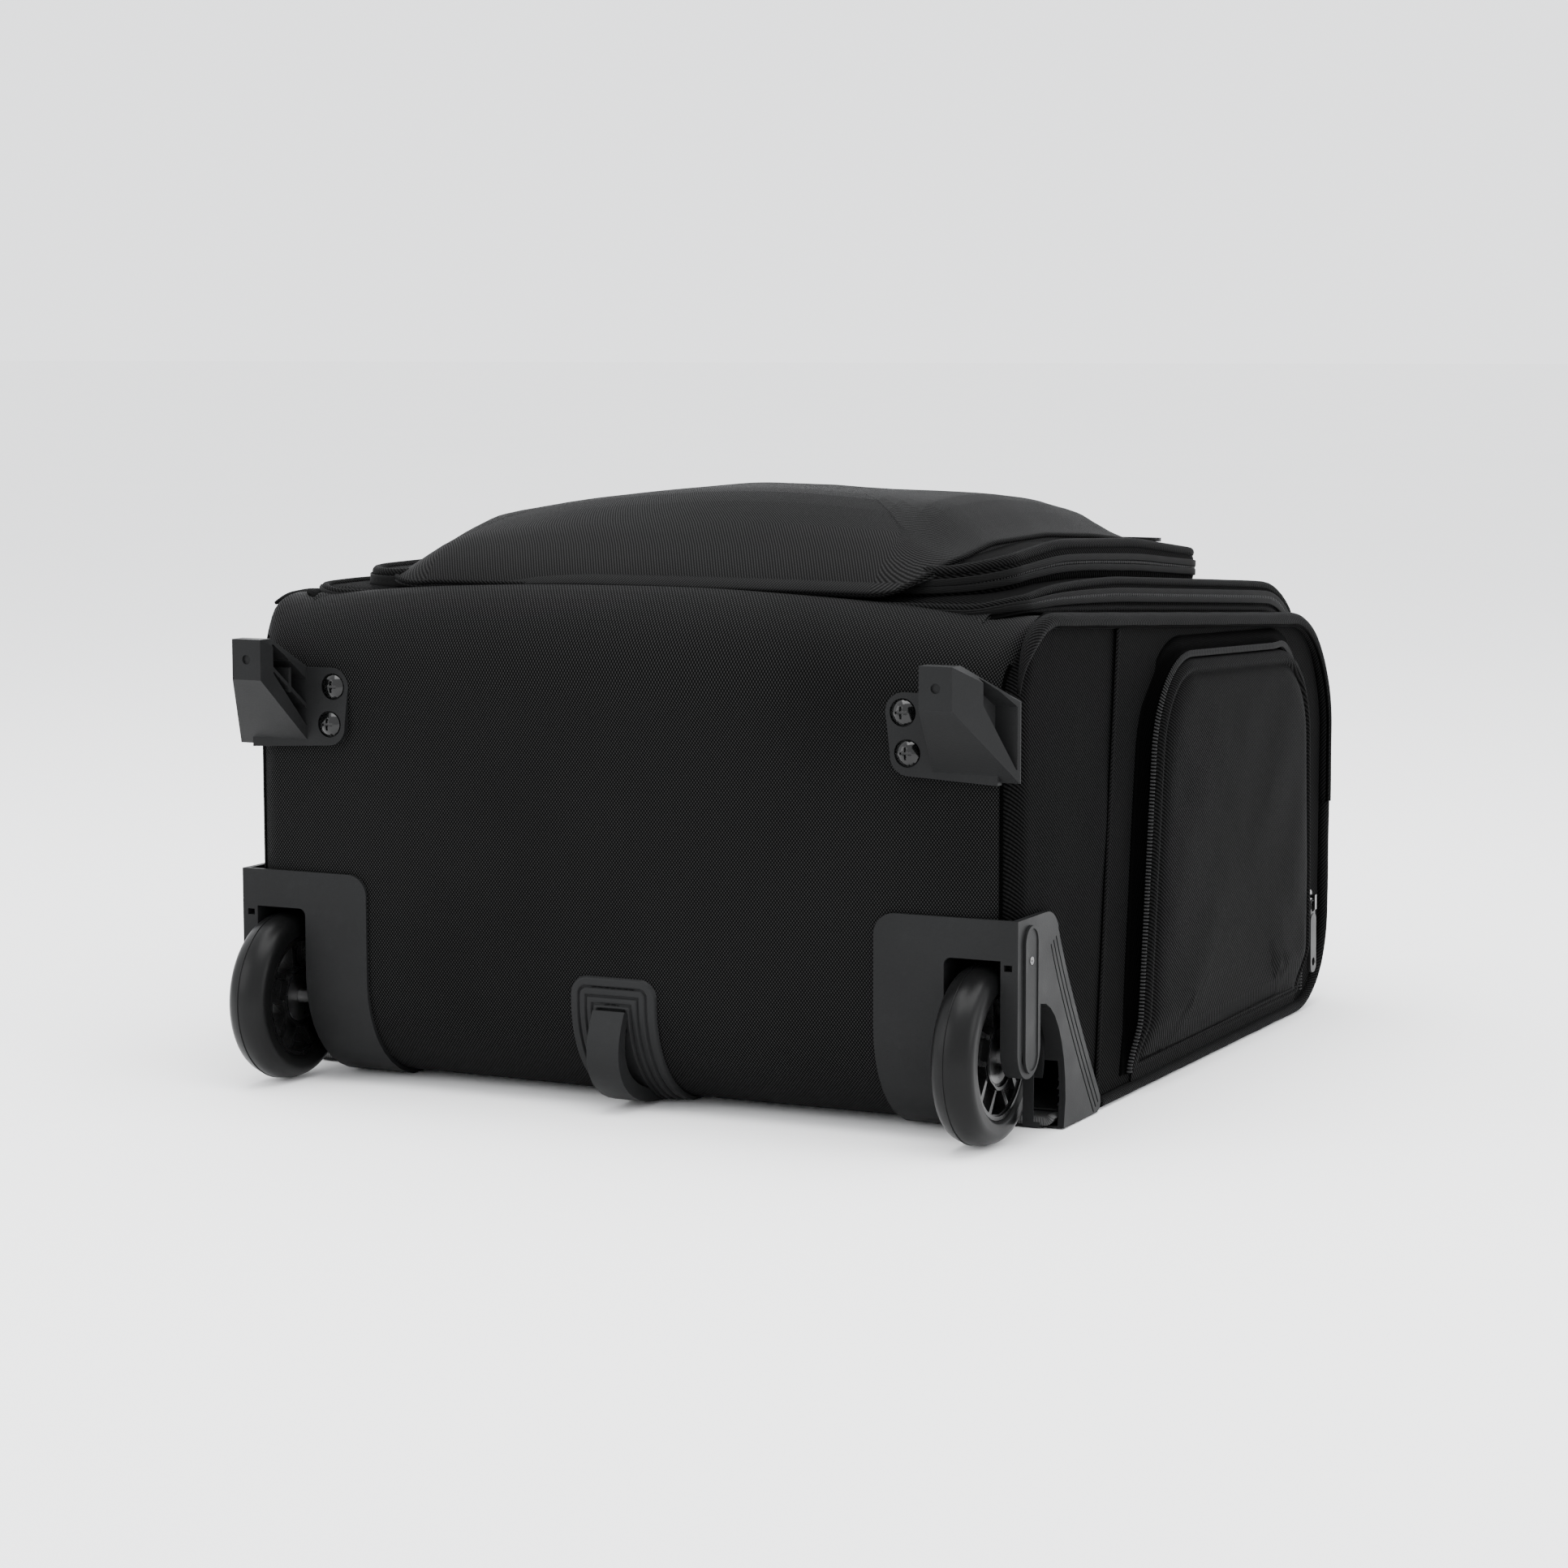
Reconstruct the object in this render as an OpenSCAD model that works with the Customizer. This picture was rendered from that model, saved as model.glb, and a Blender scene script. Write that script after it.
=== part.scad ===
// Wheeled soft-sided crew case, lying on its back as it is packed.
// +X is the width, +Y runs from the wheeled base to the top, +Z points out of the front.
// Lengths along Y inside the modules are measured from the base panel and shifted once, by in_case().

/* [Body] */
// Width of the fabric body
body_w = 354; // [340:1:370]
// Length of the body from the base panel to the top panel
body_l = 388; // [380:1:400]
// Depth of the body at the base panel
base_depth = 210; // [204:1:216]
// Fall of the front face towards the top panel, in degrees
front_tilt = 3.7; // [3:0.1:4.5]
// Thickness of the padded walls
wall = 5; // [4:0.5:6]
// Corner radius between the base or top panel and the sides
corner_r = 15; // [12:1:20]
// How far the side flap and the side carry handle stand out
side_out = 9; // [8.5:0.5:10]

/* [Wheels] */
// Outer diameter of the tyre
wheel_d = 72; // [70:1:74]
// Width of the tyre
wheel_w = 18; // [16:1:19]
// Distance of each wheel's middle from the centre line
wheel_x = 162.5; // [162:0.5:163]
// Depth of the axle behind the base panel
axle_y = 5.5; // [5:0.5:7]
// Radius of the axle bolt
axle_r = 3; // [2.5:0.5:3.5]

/* [Telescopic handle] */
// Distance of each tube from the centre line
tube_x = 62; // [50:1:66]
// Travel of each of the two stages
stage_travel = 300; // [260:5:300]
// Width of the outer tube
tube_w = 22; // [21:0.5:23]
// Height of the outer tube
tube_h = 14; // [13:0.5:15]
// Wall thickness of the tubes
tube_wall = 1.2; // [1:0.1:1.2]

/* [Lid and pockets] */
// Half width of the opening lid
lid_hw = 165; // [160:1:166]
// Thickness of the lid
lid_t = 12; // [10:1:14]
// Half width of the lower front pocket layer
pocket_b_hw = 150; // [146:1:154]
// Half width of the large front pocket
pocket_a_hw = 132; // [128:1:136]
// Height of the large pocket above the front face
pocket_a_top = 48; // [44:1:50]

/* [Hidden] */
$fn = 48;

half_w = body_w / 2;
wheel_r = wheel_d / 2;
axle_z = wheel_r;
wheel_out = wheel_r - axle_y;
back_z = 0.8;
handle_out = 13;
base_y = (wheel_out - body_l - handle_out) / 2;

// radii of the body's side outline at its four corners
r_base_back = 45;
r_top_back = 42;
r_top_front = 60;
r_base_front = 36;
front_slope = tan(front_tilt);
front_angle = 90 - front_tilt;

// the running gap between parts of different bodies
gap = 0.4;

// wheel well and its housing
well_x = 148.5;
well_r = wheel_r + 3.5;
shell_t = 3;
housing_in_x = 118;
housing_x = 180;
housing_top = 91;
fin_t = 2.8;
arm_x = wheel_x + wheel_w / 2 + 1.1;
plate_t = 2;
arm_r = 11.8;
arm_y = arm_r - plate_t;
arm_z = 38.8;
window_top = axle_z + well_r - 0.5;
well_depth = 50;
well_top = 80;

// bearings and hub
bearing_r = 11;
bearing_w = 6;
bearing_bore_r = axle_r + 0.05;
bearing_out = wheel_w / 2 - 2.5;
axle_head_t = 2;
hub_r = 25.5;
hub_inset = 1.4;

// lid hinge line
hinge_y = 24;
pocket_end = 296;
pocket_b_t = 16;
pocket_a_end = 275;

// side flap
flap_end_y = 348;
flap_gap = 0.6;
flap_low_z = 9;

// telescopic handle
tube_z = 33;
tube_r = 4;
tube_gap = 0.3;
bezel_floor = 350;
bezel_hw = 84;
bezel_low_z = 16;
bezel_high_z = 50;
bezel_wall = 3;
grip_low = 376;
grip_high = body_l + 3;

function arc(c, r, a0, a1, n = 10) =
    [for (i = [0:n]) c + r * [cos(a0 + (a1 - a0) * i / n), sin(a0 + (a1 - a0) * i / n)]];

// height of the front face above the back, at a distance y from the base panel
function front_z(y) = base_depth - front_slope * y;
function front_centre(y, r) = [y, front_z(y) - r / cos(front_tilt)];

base_back_c = [r_base_back, back_z + r_base_back];
top_back_c = [body_l - r_top_back, back_z + r_top_back];
top_front_c = front_centre(body_l - r_top_front, r_top_front);
base_front_c = front_centre(r_base_front, r_base_front);

// side outline of the body, inset by d
function body_outline(d) = concat(
    arc(base_back_c, r_base_back - d, 180, 270),
    arc(top_back_c, r_top_back - d, 270, 360),
    arc(top_front_c, r_top_front - d, 0, front_angle),
    arc(base_front_c, r_base_front - d, front_angle, 180));

// outline of the side pocket's flap in Y and Z, grown by d
flap_corner_a = [183, 138];
flap_corner_b = [300, 131];
flap_ra = 42;
flap_rb = 44;
function flap_outline(d) = concat(
    [[flap_end_y + d, flap_low_z - d]],
    arc(flap_corner_b, flap_rb + d, 5, 88),
    arc(flap_corner_a, flap_ra + d, 88, 172),
    [[126 - d, flap_low_z - d]]);

module in_case() {
    translate([0, base_y, 0]) children();
}

// extrudes a Y-Z outline along X
module x_prism(x0, x1) {
    translate([x0, 0, 0]) rotate([90, 0, 90]) linear_extrude(x1 - x0) children();
}

module rounded_rect(w, h, r) {
    square([w - 2 * r, h], center = true);
    square([w, h - 2 * r], center = true);
    for (sx = [-1, 1], sy = [-1, 1])
        translate([sx * (w / 2 - r), sy * (h / 2 - r)]) circle(r);
}

// slab with rounded corners in plan, from low corner to high corner
module rounded_slab(x0, x1, y0, y1, z0, z1, r) {
    translate([(x0 + x1) / 2, (y0 + y1) / 2, z0])
        linear_extrude(z1 - z0) rounded_rect(x1 - x0, y1 - y0, r);
}

module box(x0, x1, y0, y1, z0, z1) {
    translate([x0, y0, z0]) cube([x1 - x0, y1 - y0, z1 - z0]);
}

module x_cylinder(r, x0, x1, y, z) {
    translate([x0, y, z]) rotate([0, 90, 0]) cylinder(r = r, h = x1 - x0);
}

// body solid inset by d
module body_solid(d) {
    intersection() {
        x_prism(-half_w + d, half_w - d) polygon(body_outline(d));
        rounded_slab(-half_w + d, half_w - d, d, body_l - d, -1, base_depth + 1, corner_r - d);
    }
}

module body_shell() {
    difference() {
        body_solid(0);
        body_solid(wall);
    }
}

module wheel_wells() {
    for (s = [0, 1]) mirror([s, 0, 0])
        box(well_x - shell_t - axle_head_t - gap, half_w + 1, -1, well_depth, -1, well_top);
}

// the frame of the front face: X across, Y along it, Z out of it
module on_front() {
    translate([0, 0, base_depth]) rotate([-front_tilt, 0, 0]) children();
}

inner_w = half_w - wall;
panel_break_base = 62;
panel_break_top = body_l - 61;

// ---------- soft body ----------
module back_panel() {
    color("#1b1b1c") in_case() intersection() {
        body_shell();
        box(-inner_w, inner_w, panel_break_base, panel_break_top, 0, 30);
    }
}

module base_panel() {
    color("#161617") in_case() difference() {
        intersection() {
            body_shell();
            box(-inner_w, inner_w, -1, panel_break_base, 0, base_depth + 1);
        }
        wheel_wells();
    }
}

module top_panel() {
    color("#1b1b1c") in_case() difference() {
        intersection() {
            body_shell();
            box(-inner_w, inner_w, panel_break_top, body_l + 1, 0, base_depth + 1);
        }
        box(-bezel_hw - gap, bezel_hw + gap, bezel_floor - 2, body_l + 1, bezel_low_z - gap,
            bezel_high_z + gap);
    }
}

module side_slab() {
    intersection() {
        body_shell();
        box(inner_w, half_w + 1, -1, body_l + 1, 0, base_depth + 1);
    }
}

module left_side() {
    color("#1b1b1c") in_case() difference() {
        mirror([1, 0, 0]) side_slab();
        wheel_wells();
    }
}

module right_side() {
    color("#1b1b1c") in_case() difference() {
        side_slab();
        wheel_wells();
        x_prism(inner_w - 1, half_w + 1) polygon(flap_outline(flap_gap));
    }
}

rim_w = 20;
module front_rim() {
    color("#1b1b1c") in_case() difference() {
        intersection() {
            body_shell();
            box(-inner_w, inner_w, panel_break_base, panel_break_top, 120, base_depth + 1);
        }
        box(-inner_w + rim_w, inner_w - rim_w, 0, body_l, 120, base_depth + 1);
    }
}

lining_z = 44;
module back_lining() {
    color("#3a3b3d") in_case()
        box(-inner_w + 1, inner_w - 1, well_depth + 2, bezel_floor - 4, lining_z,
            lining_z + 2);
}

pocket_depth = 14;
module side_pocket_lining() {
    color("#3a3b3d") in_case() x_prism(inner_w - pocket_depth - 2, inner_w - pocket_depth)
        polygon([[110, lining_z + 3], [360, lining_z + 3], [360, 150], [300, 178], [110, 190]]);
}

module piping_loop() {
    x_prism(half_w - 1.2, half_w + 2) difference() {
        polygon(body_outline(-back_z));
        polygon(body_outline(6));
    }
}

module side_piping() {
    difference() {
        piping_loop();
        side_slab();
        box(half_w - 8, half_w + 8, -4, 96, -1, housing_top + 2);
        box(half_w - 8, half_w + 8, -4, 9, -1, base_depth + 2);
    }
}

module left_piping() {
    color("#111112") in_case() mirror([1, 0, 0]) side_piping();
}

module right_piping() {
    color("#111112") in_case() side_piping();
}

// ---------- wheel housings ----------
// trailing edge of the outer fin, from its top corner down to the back; d moves it forwards
function fin_edge(t, d) =
    let (p = pow(1 - t, 2) * [40, 83] + 2 * (1 - t) * t * [52, 56] + t * t * [90, 3])
    let (v = 2 * (1 - t) * ([52, 56] - [40, 83]) + 2 * t * ([90, 3] - [52, 56]))
    p + d * [v[1], -v[0]] / norm(v);
fin_steps = 8;
function fin_edge_line(d, t0 = 0, t1 = 1) =
    [for (i = [0:fin_steps]) fin_edge(t0 + (t1 - t0) * i / fin_steps, d)];
arch_c = [22, 12];
arch_top = 55;
// front edge of the fin's leg: a quarter ellipse that starts at the fork arm
arch_line = [for (i = [0:8]) arch_c + [27 * sin(i * 11.25), (arch_top - 12) * cos(i * 11.25)]];
fin_outline = concat(
    [[-1, housing_top], [26, housing_top]], arc([28, 77], 14, 80, 30, 5), fin_edge_line(0, 0, 0.94),
    [[87.4, 6.4], [88, 3.7], [86.9, 1.2], [84, 0], [47, 0]],
    [for (i = [8:-1:0]) arch_line[i]], [[-1, arch_top]]);
groove_w = 0.8;
groove_depth = 0.6;
module fin_grooves() {
    for (d = [3, 6, 9]) x_prism(housing_x - groove_depth, housing_x + 1) polygon(concat(
        fin_edge_line(d, 0.03, 0.97),
        [for (i = [fin_steps:-1:0]) fin_edge_line(d + groove_w, 0.03, 0.97)[i]]));
}

// plate that hugs the base panel and wraps round to the back
module base_plate() {
    intersection() {
        x_prism(housing_in_x, housing_x) difference() {
            polygon(body_outline(-plate_t));
            polygon(body_outline(-0.1));
        }
        translate([housing_in_x, -5, -40]) linear_extrude(housing_top + 40)
            square([housing_x - housing_in_x, 65]);
        rotate([90, 0, 0]) translate([0, 0, -70]) linear_extrude(80) union() {
            translate([housing_in_x + 9, 0]) square([70, housing_top]);
            translate([housing_in_x, 0]) square([80, housing_top - 9]);
            translate([housing_in_x + 9, housing_top - 9]) circle(9);
        }
    }
}

// cup over the wheel and its inner cheek, inside the plate's outer face
module wheel_cup() {
    intersection() {
        union() {
            x_cylinder(well_r + shell_t, well_x - shell_t, half_w + 0.3, axle_y, axle_z);
            box(well_x - shell_t, half_w + 0.3, -plate_t, axle_y, axle_z, well_r + axle_z + 3);
        }
        box(well_x - shell_t, half_w + 0.3, -plate_t, well_depth, 0, well_top);
        x_prism(well_x - shell_t - 1, half_w + 1) polygon(body_outline(-plate_t));
    }
}

module wheel_housing() {
    // rounded corner of the window in the base plate
    translate([0, -0.1, 0]) rotate([90, 0, 0]) linear_extrude(plate_t - 0.1)
        polygon(concat([[well_x - 0.5, window_top + 0.5]],
            arc([well_x + 3, window_top - 3], 3, 90, 180, 5)));
    difference() {
        union() {
            difference() {
                union() {
                    base_plate();
                    wheel_cup();
                    x_prism(housing_x - fin_t, housing_x) polygon(fin_outline);
                }
                // nothing but the fork arm outside the lower half of the wheel
                box(arm_x, housing_x + 1, -5, arm_y + arm_r, -1, arch_top);
            }
            box(arm_x, housing_x, -plate_t, arm_y + arm_r, arm_z, well_top - gap);
            x_cylinder(arm_r, arm_x, housing_x, arm_y, arm_z);
        }
        // room for the wheel, open at the base and at the back
        difference() {
            union() {
                x_cylinder(well_r, well_x, arm_x, axle_y, axle_z);
                box(well_x, arm_x, -20, axle_y, -20, axle_z + well_r);
                box(well_x, arm_x, -20, axle_y + well_r, -20, axle_z);
            }
            box(well_x, arm_x, -20, 20, window_top, 100);
        }
        // arched opening between the arm and the fin's leg
        x_prism(arm_x - 1, housing_x + 1) polygon(concat([[arm_y + arm_r, -1]],
            [for (p = arch_line) p], [[47, -1]]));
        fin_grooves();
        // small slot beside the window's top corner
        box(arm_x + 1.5, housing_x - 2.5, -6, 3, 71, 73.5);
        // axle holes through the cheek and the arm
        x_cylinder(axle_r + 0.05, well_x - shell_t - 1, housing_x + 1, axle_y, axle_z);
    }
}

module left_wheel_housing() {
    color("#2c2d2f") in_case() mirror([1, 0, 0]) wheel_housing();
}

module right_wheel_housing() {
    color("#2c2d2f") in_case() wheel_housing();
}

// bolt with a low head inside the cheek, flush at the arm's outer face
module axle() {
    x_cylinder(axle_r, well_x - shell_t, housing_x - 0.5, axle_y, axle_z);
    x_cylinder(4, well_x - shell_t - axle_head_t, well_x - shell_t, axle_y, axle_z);
}

module left_axle() {
    color("silver") in_case() mirror([1, 0, 0]) axle();
}

module right_axle() {
    color("silver") in_case() axle();
}

// ---------- wheels ----------
module tyre() {
    shoulder = 4.5;
    crown_r = 14;
    half = wheel_w / 2;
    in_case() translate([wheel_x, axle_y, axle_z]) rotate([0, 90, 0]) rotate_extrude($fn = 96)
        polygon(concat(
            [[hub_r, -half + hub_inset], [hub_r, half - hub_inset], [hub_r + 1.4, half]],
            arc([wheel_r - 5.6, half - shoulder], shoulder, 90, 25, 4),
            arc([wheel_r - crown_r, 0], crown_r, 24, -24, 8),
            arc([wheel_r - 5.6, -half + shoulder], shoulder, -25, -90, 4),
            [[hub_r + 1.4, -half]]));
}

// the web has open windows and shallow panels by turns, with zigzag spokes between them
spoke_pairs = 5;
panel_depth = 3.5;
module window_shape(outer_half, inner_half) {
    r0 = bearing_r + 2.8;
    r1 = hub_r - 2.2;
    polygon([r1 * [cos(outer_half), -sin(outer_half)], r1 * [1, 0] * 1.01,
        r1 * [cos(outer_half), sin(outer_half)], r0 * [cos(inner_half), sin(inner_half)],
        r0 * [cos(inner_half), -sin(inner_half)]]);
}

module hub() {
    half = wheel_w / 2 - hub_inset;
    in_case() translate([wheel_x, axle_y, axle_z]) rotate([0, 90, 0]) difference() {
        translate([0, 0, -half]) cylinder(r = hub_r - 0.02, h = 2 * half, $fn = 96);
        // bearing seats, their wider mouths and the through hole
        for (s = [0, 1]) mirror([0, 0, s]) {
            translate([0, 0, bearing_out - bearing_w]) cylinder(r = bearing_r, h = bearing_w + 3);
            translate([0, 0, bearing_out]) cylinder(r = bearing_r + 1.2, h = 3);
        }
        cylinder(r = axle_r + 1.5, h = 4 * half, center = true);
        for (i = [0:spoke_pairs - 1]) rotate([0, 0, i * 360 / spoke_pairs]) {
            translate([0, 0, -half - 1]) linear_extrude(2 * half + 2) window_shape(19, 9);
            rotate([0, 0, 180 / spoke_pairs]) for (s = [0, 1]) mirror([0, 0, s])
                translate([0, 0, half - panel_depth]) linear_extrude(panel_depth + 1)
                    window_shape(10, 20);
        }
        // step inside the rim
        for (s = [0, 1]) mirror([0, 0, s]) translate([0, 0, half - 1]) difference() {
            cylinder(r = hub_r - 1.6, h = 2);
            translate([0, 0, -1]) cylinder(r = bearing_r + 2.6, h = 4);
        }
    }
}

module bearings() {
    in_case() translate([wheel_x, axle_y, axle_z]) rotate([0, 90, 0])
        for (s = [0, 1]) mirror([0, 0, s])
            translate([0, 0, bearing_out - bearing_w]) difference() {
                cylinder(r = bearing_r, h = bearing_w);
                translate([0, 0, -1]) cylinder(r = bearing_bore_r, h = bearing_w + 2);
            }
}

module left_tyre() {
    color("#1d1e20") mirror([1, 0, 0]) tyre();
}

module left_hub() {
    color("#0c0c0d") mirror([1, 0, 0]) hub();
}

module left_bearings() {
    color("#6d6e70") mirror([1, 0, 0]) bearings();
}

module right_tyre() {
    color("#1d1e20") tyre();
}

module right_hub() {
    color("#0c0c0d") hub();
}

module right_bearings() {
    color("#6d6e70") bearings();
}

// ---------- housing trims ----------
trim_w = 14;
trim_low = 29;
trim_high = 88;
trim_y = arm_y + 0.6;
trim_t = 1.2;
module trim_capsule(x0, x1, w) {
    x_cylinder(w / 2, x0, x1, trim_y, trim_low + trim_w / 2);
    x_cylinder(w / 2, x0, x1, trim_y, trim_high - trim_w / 2);
    box(x0, x1, trim_y - w / 2, trim_y + w / 2, trim_low + trim_w / 2, trim_high - trim_w / 2);
}

module housing_trims() {
    color("#242527") in_case() for (s = [0, 1]) mirror([s, 0, 0]) difference() {
        trim_capsule(housing_x, housing_x + trim_t, trim_w);
        trim_capsule(housing_x + trim_t - 0.5, housing_x + trim_t + 1, trim_w - 2.4);
        x_cylinder(1.6, housing_x - 1, housing_x + 3, trim_y, 74);
    }
}

module trim_screws() {
    color("#8b8c8e") in_case() for (s = [0, 1]) mirror([s, 0, 0]) difference() {
        x_cylinder(1.6, housing_x, housing_x + 1, trim_y, 74);
        for (a = [0, 90]) translate([housing_x + 0.7, trim_y, 74]) rotate([a, 0, 0])
            cube([1, 2.2, 0.5], center = true);
    }
}

// ---------- feet ----------
foot_block = [150, 164, 175, 192];
foot_screw_at = [[131.5, 171], [133.5, 155]];
foot_plate_t = 4;
foot_end = wheel_out - 0.1;
module foot_bore(r, y0, y1) {
    for (p = foot_screw_at)
        translate([p[0], y1, p[1]]) rotate([90, 0, 0]) cylinder(r = r, h = y1 - y0);
}

module foot() {
    difference() {
        union() {
            // flange on the base panel
            rotate([90, 0, 0]) linear_extrude(foot_plate_t) union() {
                translate([132, 171]) circle(8);
                translate([134, 154]) circle(8);
                polygon([[124.2, 170], [126.2, 153], [134, 146], [172, 144], [172, 178],
                    [132, 179]]);
            }
            // wedge that carries the end block
            hull() {
                box(foot_block[0], foot_block[1], -foot_end, -foot_end + 8, foot_block[2],
                    foot_block[3]);
                box(144, 180, -1, 0, 145, 177);
            }
        }
        // recess in the outer side, and a hole through the web
        hull() {
            box(163, 190, -17, -16.5, 176.5, 187);
            box(170, 190, -2.6, -2.1, 150.5, 175);
        }
        x_cylinder(1.6, 140, 168, -14, 180.5);
        // hollow in the inner side, with a long rib and a cross rib left standing in it
        difference() {
            hull() {
                box(146, 159, -23, -22, 177.5, 189.5);
                box(138, 164, -foot_plate_t - 0.2, -foot_plate_t, 154, 174);
            }
            hull() {
                box(141, 166, -24, -23.5, 179.4, 180.8);
                box(141, 166, -foot_plate_t - 0.1, -foot_plate_t + 0.4, 161.6, 163);
            }
            box(141, 166, -14.2, -12.8, 169, 188);
        }
        // dimple in the end face
        translate([(foot_block[0] + foot_block[1]) / 2, -foot_end - 1, 183.5])
            rotate([-90, 0, 0]) cylinder(r = 2, h = 2);
        foot_bore(2.2, -foot_plate_t - 1, 1);
        foot_bore(5.6, -foot_plate_t - 20, -foot_plate_t + 1.2);
    }
}

module left_foot() {
    color("#303133") in_case() mirror([1, 0, 0]) translate([0, -0.1, 0]) foot();
}

module right_foot() {
    color("#303133") in_case() translate([0, -0.1, 0]) foot();
}

module foot_screws() {
    color("#0f0f10") in_case() for (s = [0, 1]) mirror([s, 0, 0])
        for (p = foot_screw_at) translate([p[0], -0.1, p[1]]) rotate([90, 0, 0]) difference() {
            union() {
                translate([0, 0, 0.2]) cylinder(r = 2.1, h = foot_plate_t);
                intersection() {
                    translate([0, 0, foot_plate_t - 1.1]) cylinder(r = 5, h = 3.2);
                    translate([0, 0, foot_plate_t - 4.1]) sphere(r = 6.4);
                }
            }
            for (a = [0, 90]) rotate([0, 0, a]) translate([0, 0, foot_plate_t + 2.2])
                cube([5, 1, 2.4], center = true);
        }
}

// ---------- grab handle on the base ----------
mount_hw = 20;
mount_top = 56;
mount_t = 2.4;
module base_handle_mount() {
    color("#2a2b2d") in_case() intersection() {
        x_prism(-mount_hw, mount_hw) difference() {
            polygon(body_outline(-mount_t));
            polygon(body_outline(-0.1));
        }
        box(-50, 50, -5, 52, 0.2, mount_top);
        rotate([90, 0, 0]) translate([0, 0, -70]) linear_extrude(80) union() {
            translate([-mount_hw, -5]) square([2 * mount_hw, mount_top - 3]);
            translate([-mount_hw + 8, -5]) square([2 * mount_hw - 16, mount_top + 5]);
            for (s = [-1, 1]) translate([s * (mount_hw - 8), mount_top - 8]) circle(8);
        }
    }
}

// middle line of the strap: it bridges the rounded edge of the case
strap_a = [-mount_t - 1, 42];
strap_b = [-11, 22];
strap_c = [-7, 3.4];
strap_d = [46, 2.1];
strap_hw = 7.5;
strap_t = 3.6;
strap_core = 3.2;
function bezier(t) =
    pow(1 - t, 3) * strap_a + 3 * pow(1 - t, 2) * t * strap_b
    + 3 * (1 - t) * t * t * strap_c + t * t * t * strap_d;
function bezier_dir(t) =
    3 * pow(1 - t, 2) * (strap_b - strap_a) + 6 * (1 - t) * t * (strap_c - strap_b)
    + 3 * t * t * (strap_d - strap_c);
function bezier_side(t, d) =
    let (v = bezier_dir(t)) bezier(t) + d * [-v[1], v[0]] / norm(v);
strap_steps = 16;
module base_handle_strap() {
    color("#333436") in_case() difference() {
        x_prism(-strap_hw, strap_hw) polygon(concat(
            [for (i = [0:strap_steps]) bezier_side(i / strap_steps, strap_t / 2)],
            [for (i = [strap_steps:-1:0]) bezier_side(i / strap_steps,
                -strap_t / 2 - strap_core * sin(180 * i / strap_steps))]));
        x_prism(-50, 50) polygon(body_outline(-mount_t - 0.02));
        box(-50, 50, -50, 100, -5, 0.2);
    }
}

// ---------- telescopic handle ----------
// rounded tube along Y; its outer size shrinks by the wall and the gap at each stage
module y_tube(stage, y0, y1) {
    step = 2 * stage * (tube_wall + tube_gap);
    w = tube_w - step;
    h = tube_h - step;
    r = tube_r - stage * 0.8;
    for (s = [-1, 1]) translate([s * tube_x, y1, tube_z]) rotate([90, 0, 0])
        linear_extrude(y1 - y0) difference() {
            rounded_rect(w, h, r);
            rounded_rect(w - 2 * tube_wall, h - 2 * tube_wall, r - 0.8);
        }
}

tube_low = 18;
tube_top = bezel_floor + 8;
tube_overlap = 30;
module outer_tubes() {
    color("#9a9c9f") in_case() y_tube(0, tube_low, bezel_floor);
}

module middle_tubes() {
    color("#b0b2b5") in_case() y_tube(1, tube_top - stage_travel - tube_overlap, tube_top);
}

module inner_tubes() {
    color("#c3c5c8") in_case() y_tube(2, tube_top - stage_travel - tube_overlap + 6, grip_low);
}

module tube_bracket() {
    color("#2a2b2d") in_case() difference() {
        box(-tube_x - 16, tube_x + 16, tube_low - 8, tube_low + 12, tube_z - 5.5, tube_z + 9);
        for (s = [-1, 1]) translate([s * tube_x, tube_low + 13, tube_z]) rotate([90, 0, 0])
            linear_extrude(13.05) rounded_rect(tube_w + 0.1, tube_h + 0.1, tube_r);
        box(-tube_x + 16, tube_x - 16, tube_low - 2, tube_low + 13, 0, 40);
    }
}

module handle_bezel() {
    color("#2a2b2d") in_case() difference() {
        box(-bezel_hw, bezel_hw, bezel_floor, body_l + 2.5, bezel_low_z, bezel_high_z);
        box(-bezel_hw + bezel_wall, bezel_hw - bezel_wall, bezel_floor + bezel_wall, body_l + 4,
            bezel_low_z + bezel_wall, bezel_high_z - bezel_wall);
        for (s = [-1, 1]) translate([s * tube_x, bezel_floor + 4, tube_z]) rotate([90, 0, 0])
            linear_extrude(5) rounded_rect(tube_w - 1.8, tube_h - 1.8, tube_r - 0.6);
        // the lower edge follows the body's rounded edge
        difference() {
            box(-bezel_hw - 1, bezel_hw + 1, bezel_floor - 1, body_l + 4, 0, 40);
            x_prism(-bezel_hw - 2, bezel_hw + 2) polygon(body_outline(-2.5));
        }
    }
}

grip_hw = 76;
grip_half_h = 9;
button_hw = 14;
button_h = 5;
button_t = 3.4;
module grip() {
    color("#232426") in_case() difference() {
        translate([0, grip_high, tube_z]) rotate([90, 0, 0]) linear_extrude(grip_high - grip_low)
            rounded_rect(2 * grip_hw, 2 * grip_half_h, 6);
        box(-button_hw - gap, button_hw + gap, grip_high - 8, grip_high + 1,
            tube_z - button_h - gap, tube_z + button_h + gap);
    }
}

module grip_button() {
    color("#4a4b4d") in_case() translate([0, grip_high + 1, tube_z]) rotate([90, 0, 0])
        linear_extrude(button_t + 1) rounded_rect(2 * button_hw, 2 * button_h, 3);
}

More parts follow.
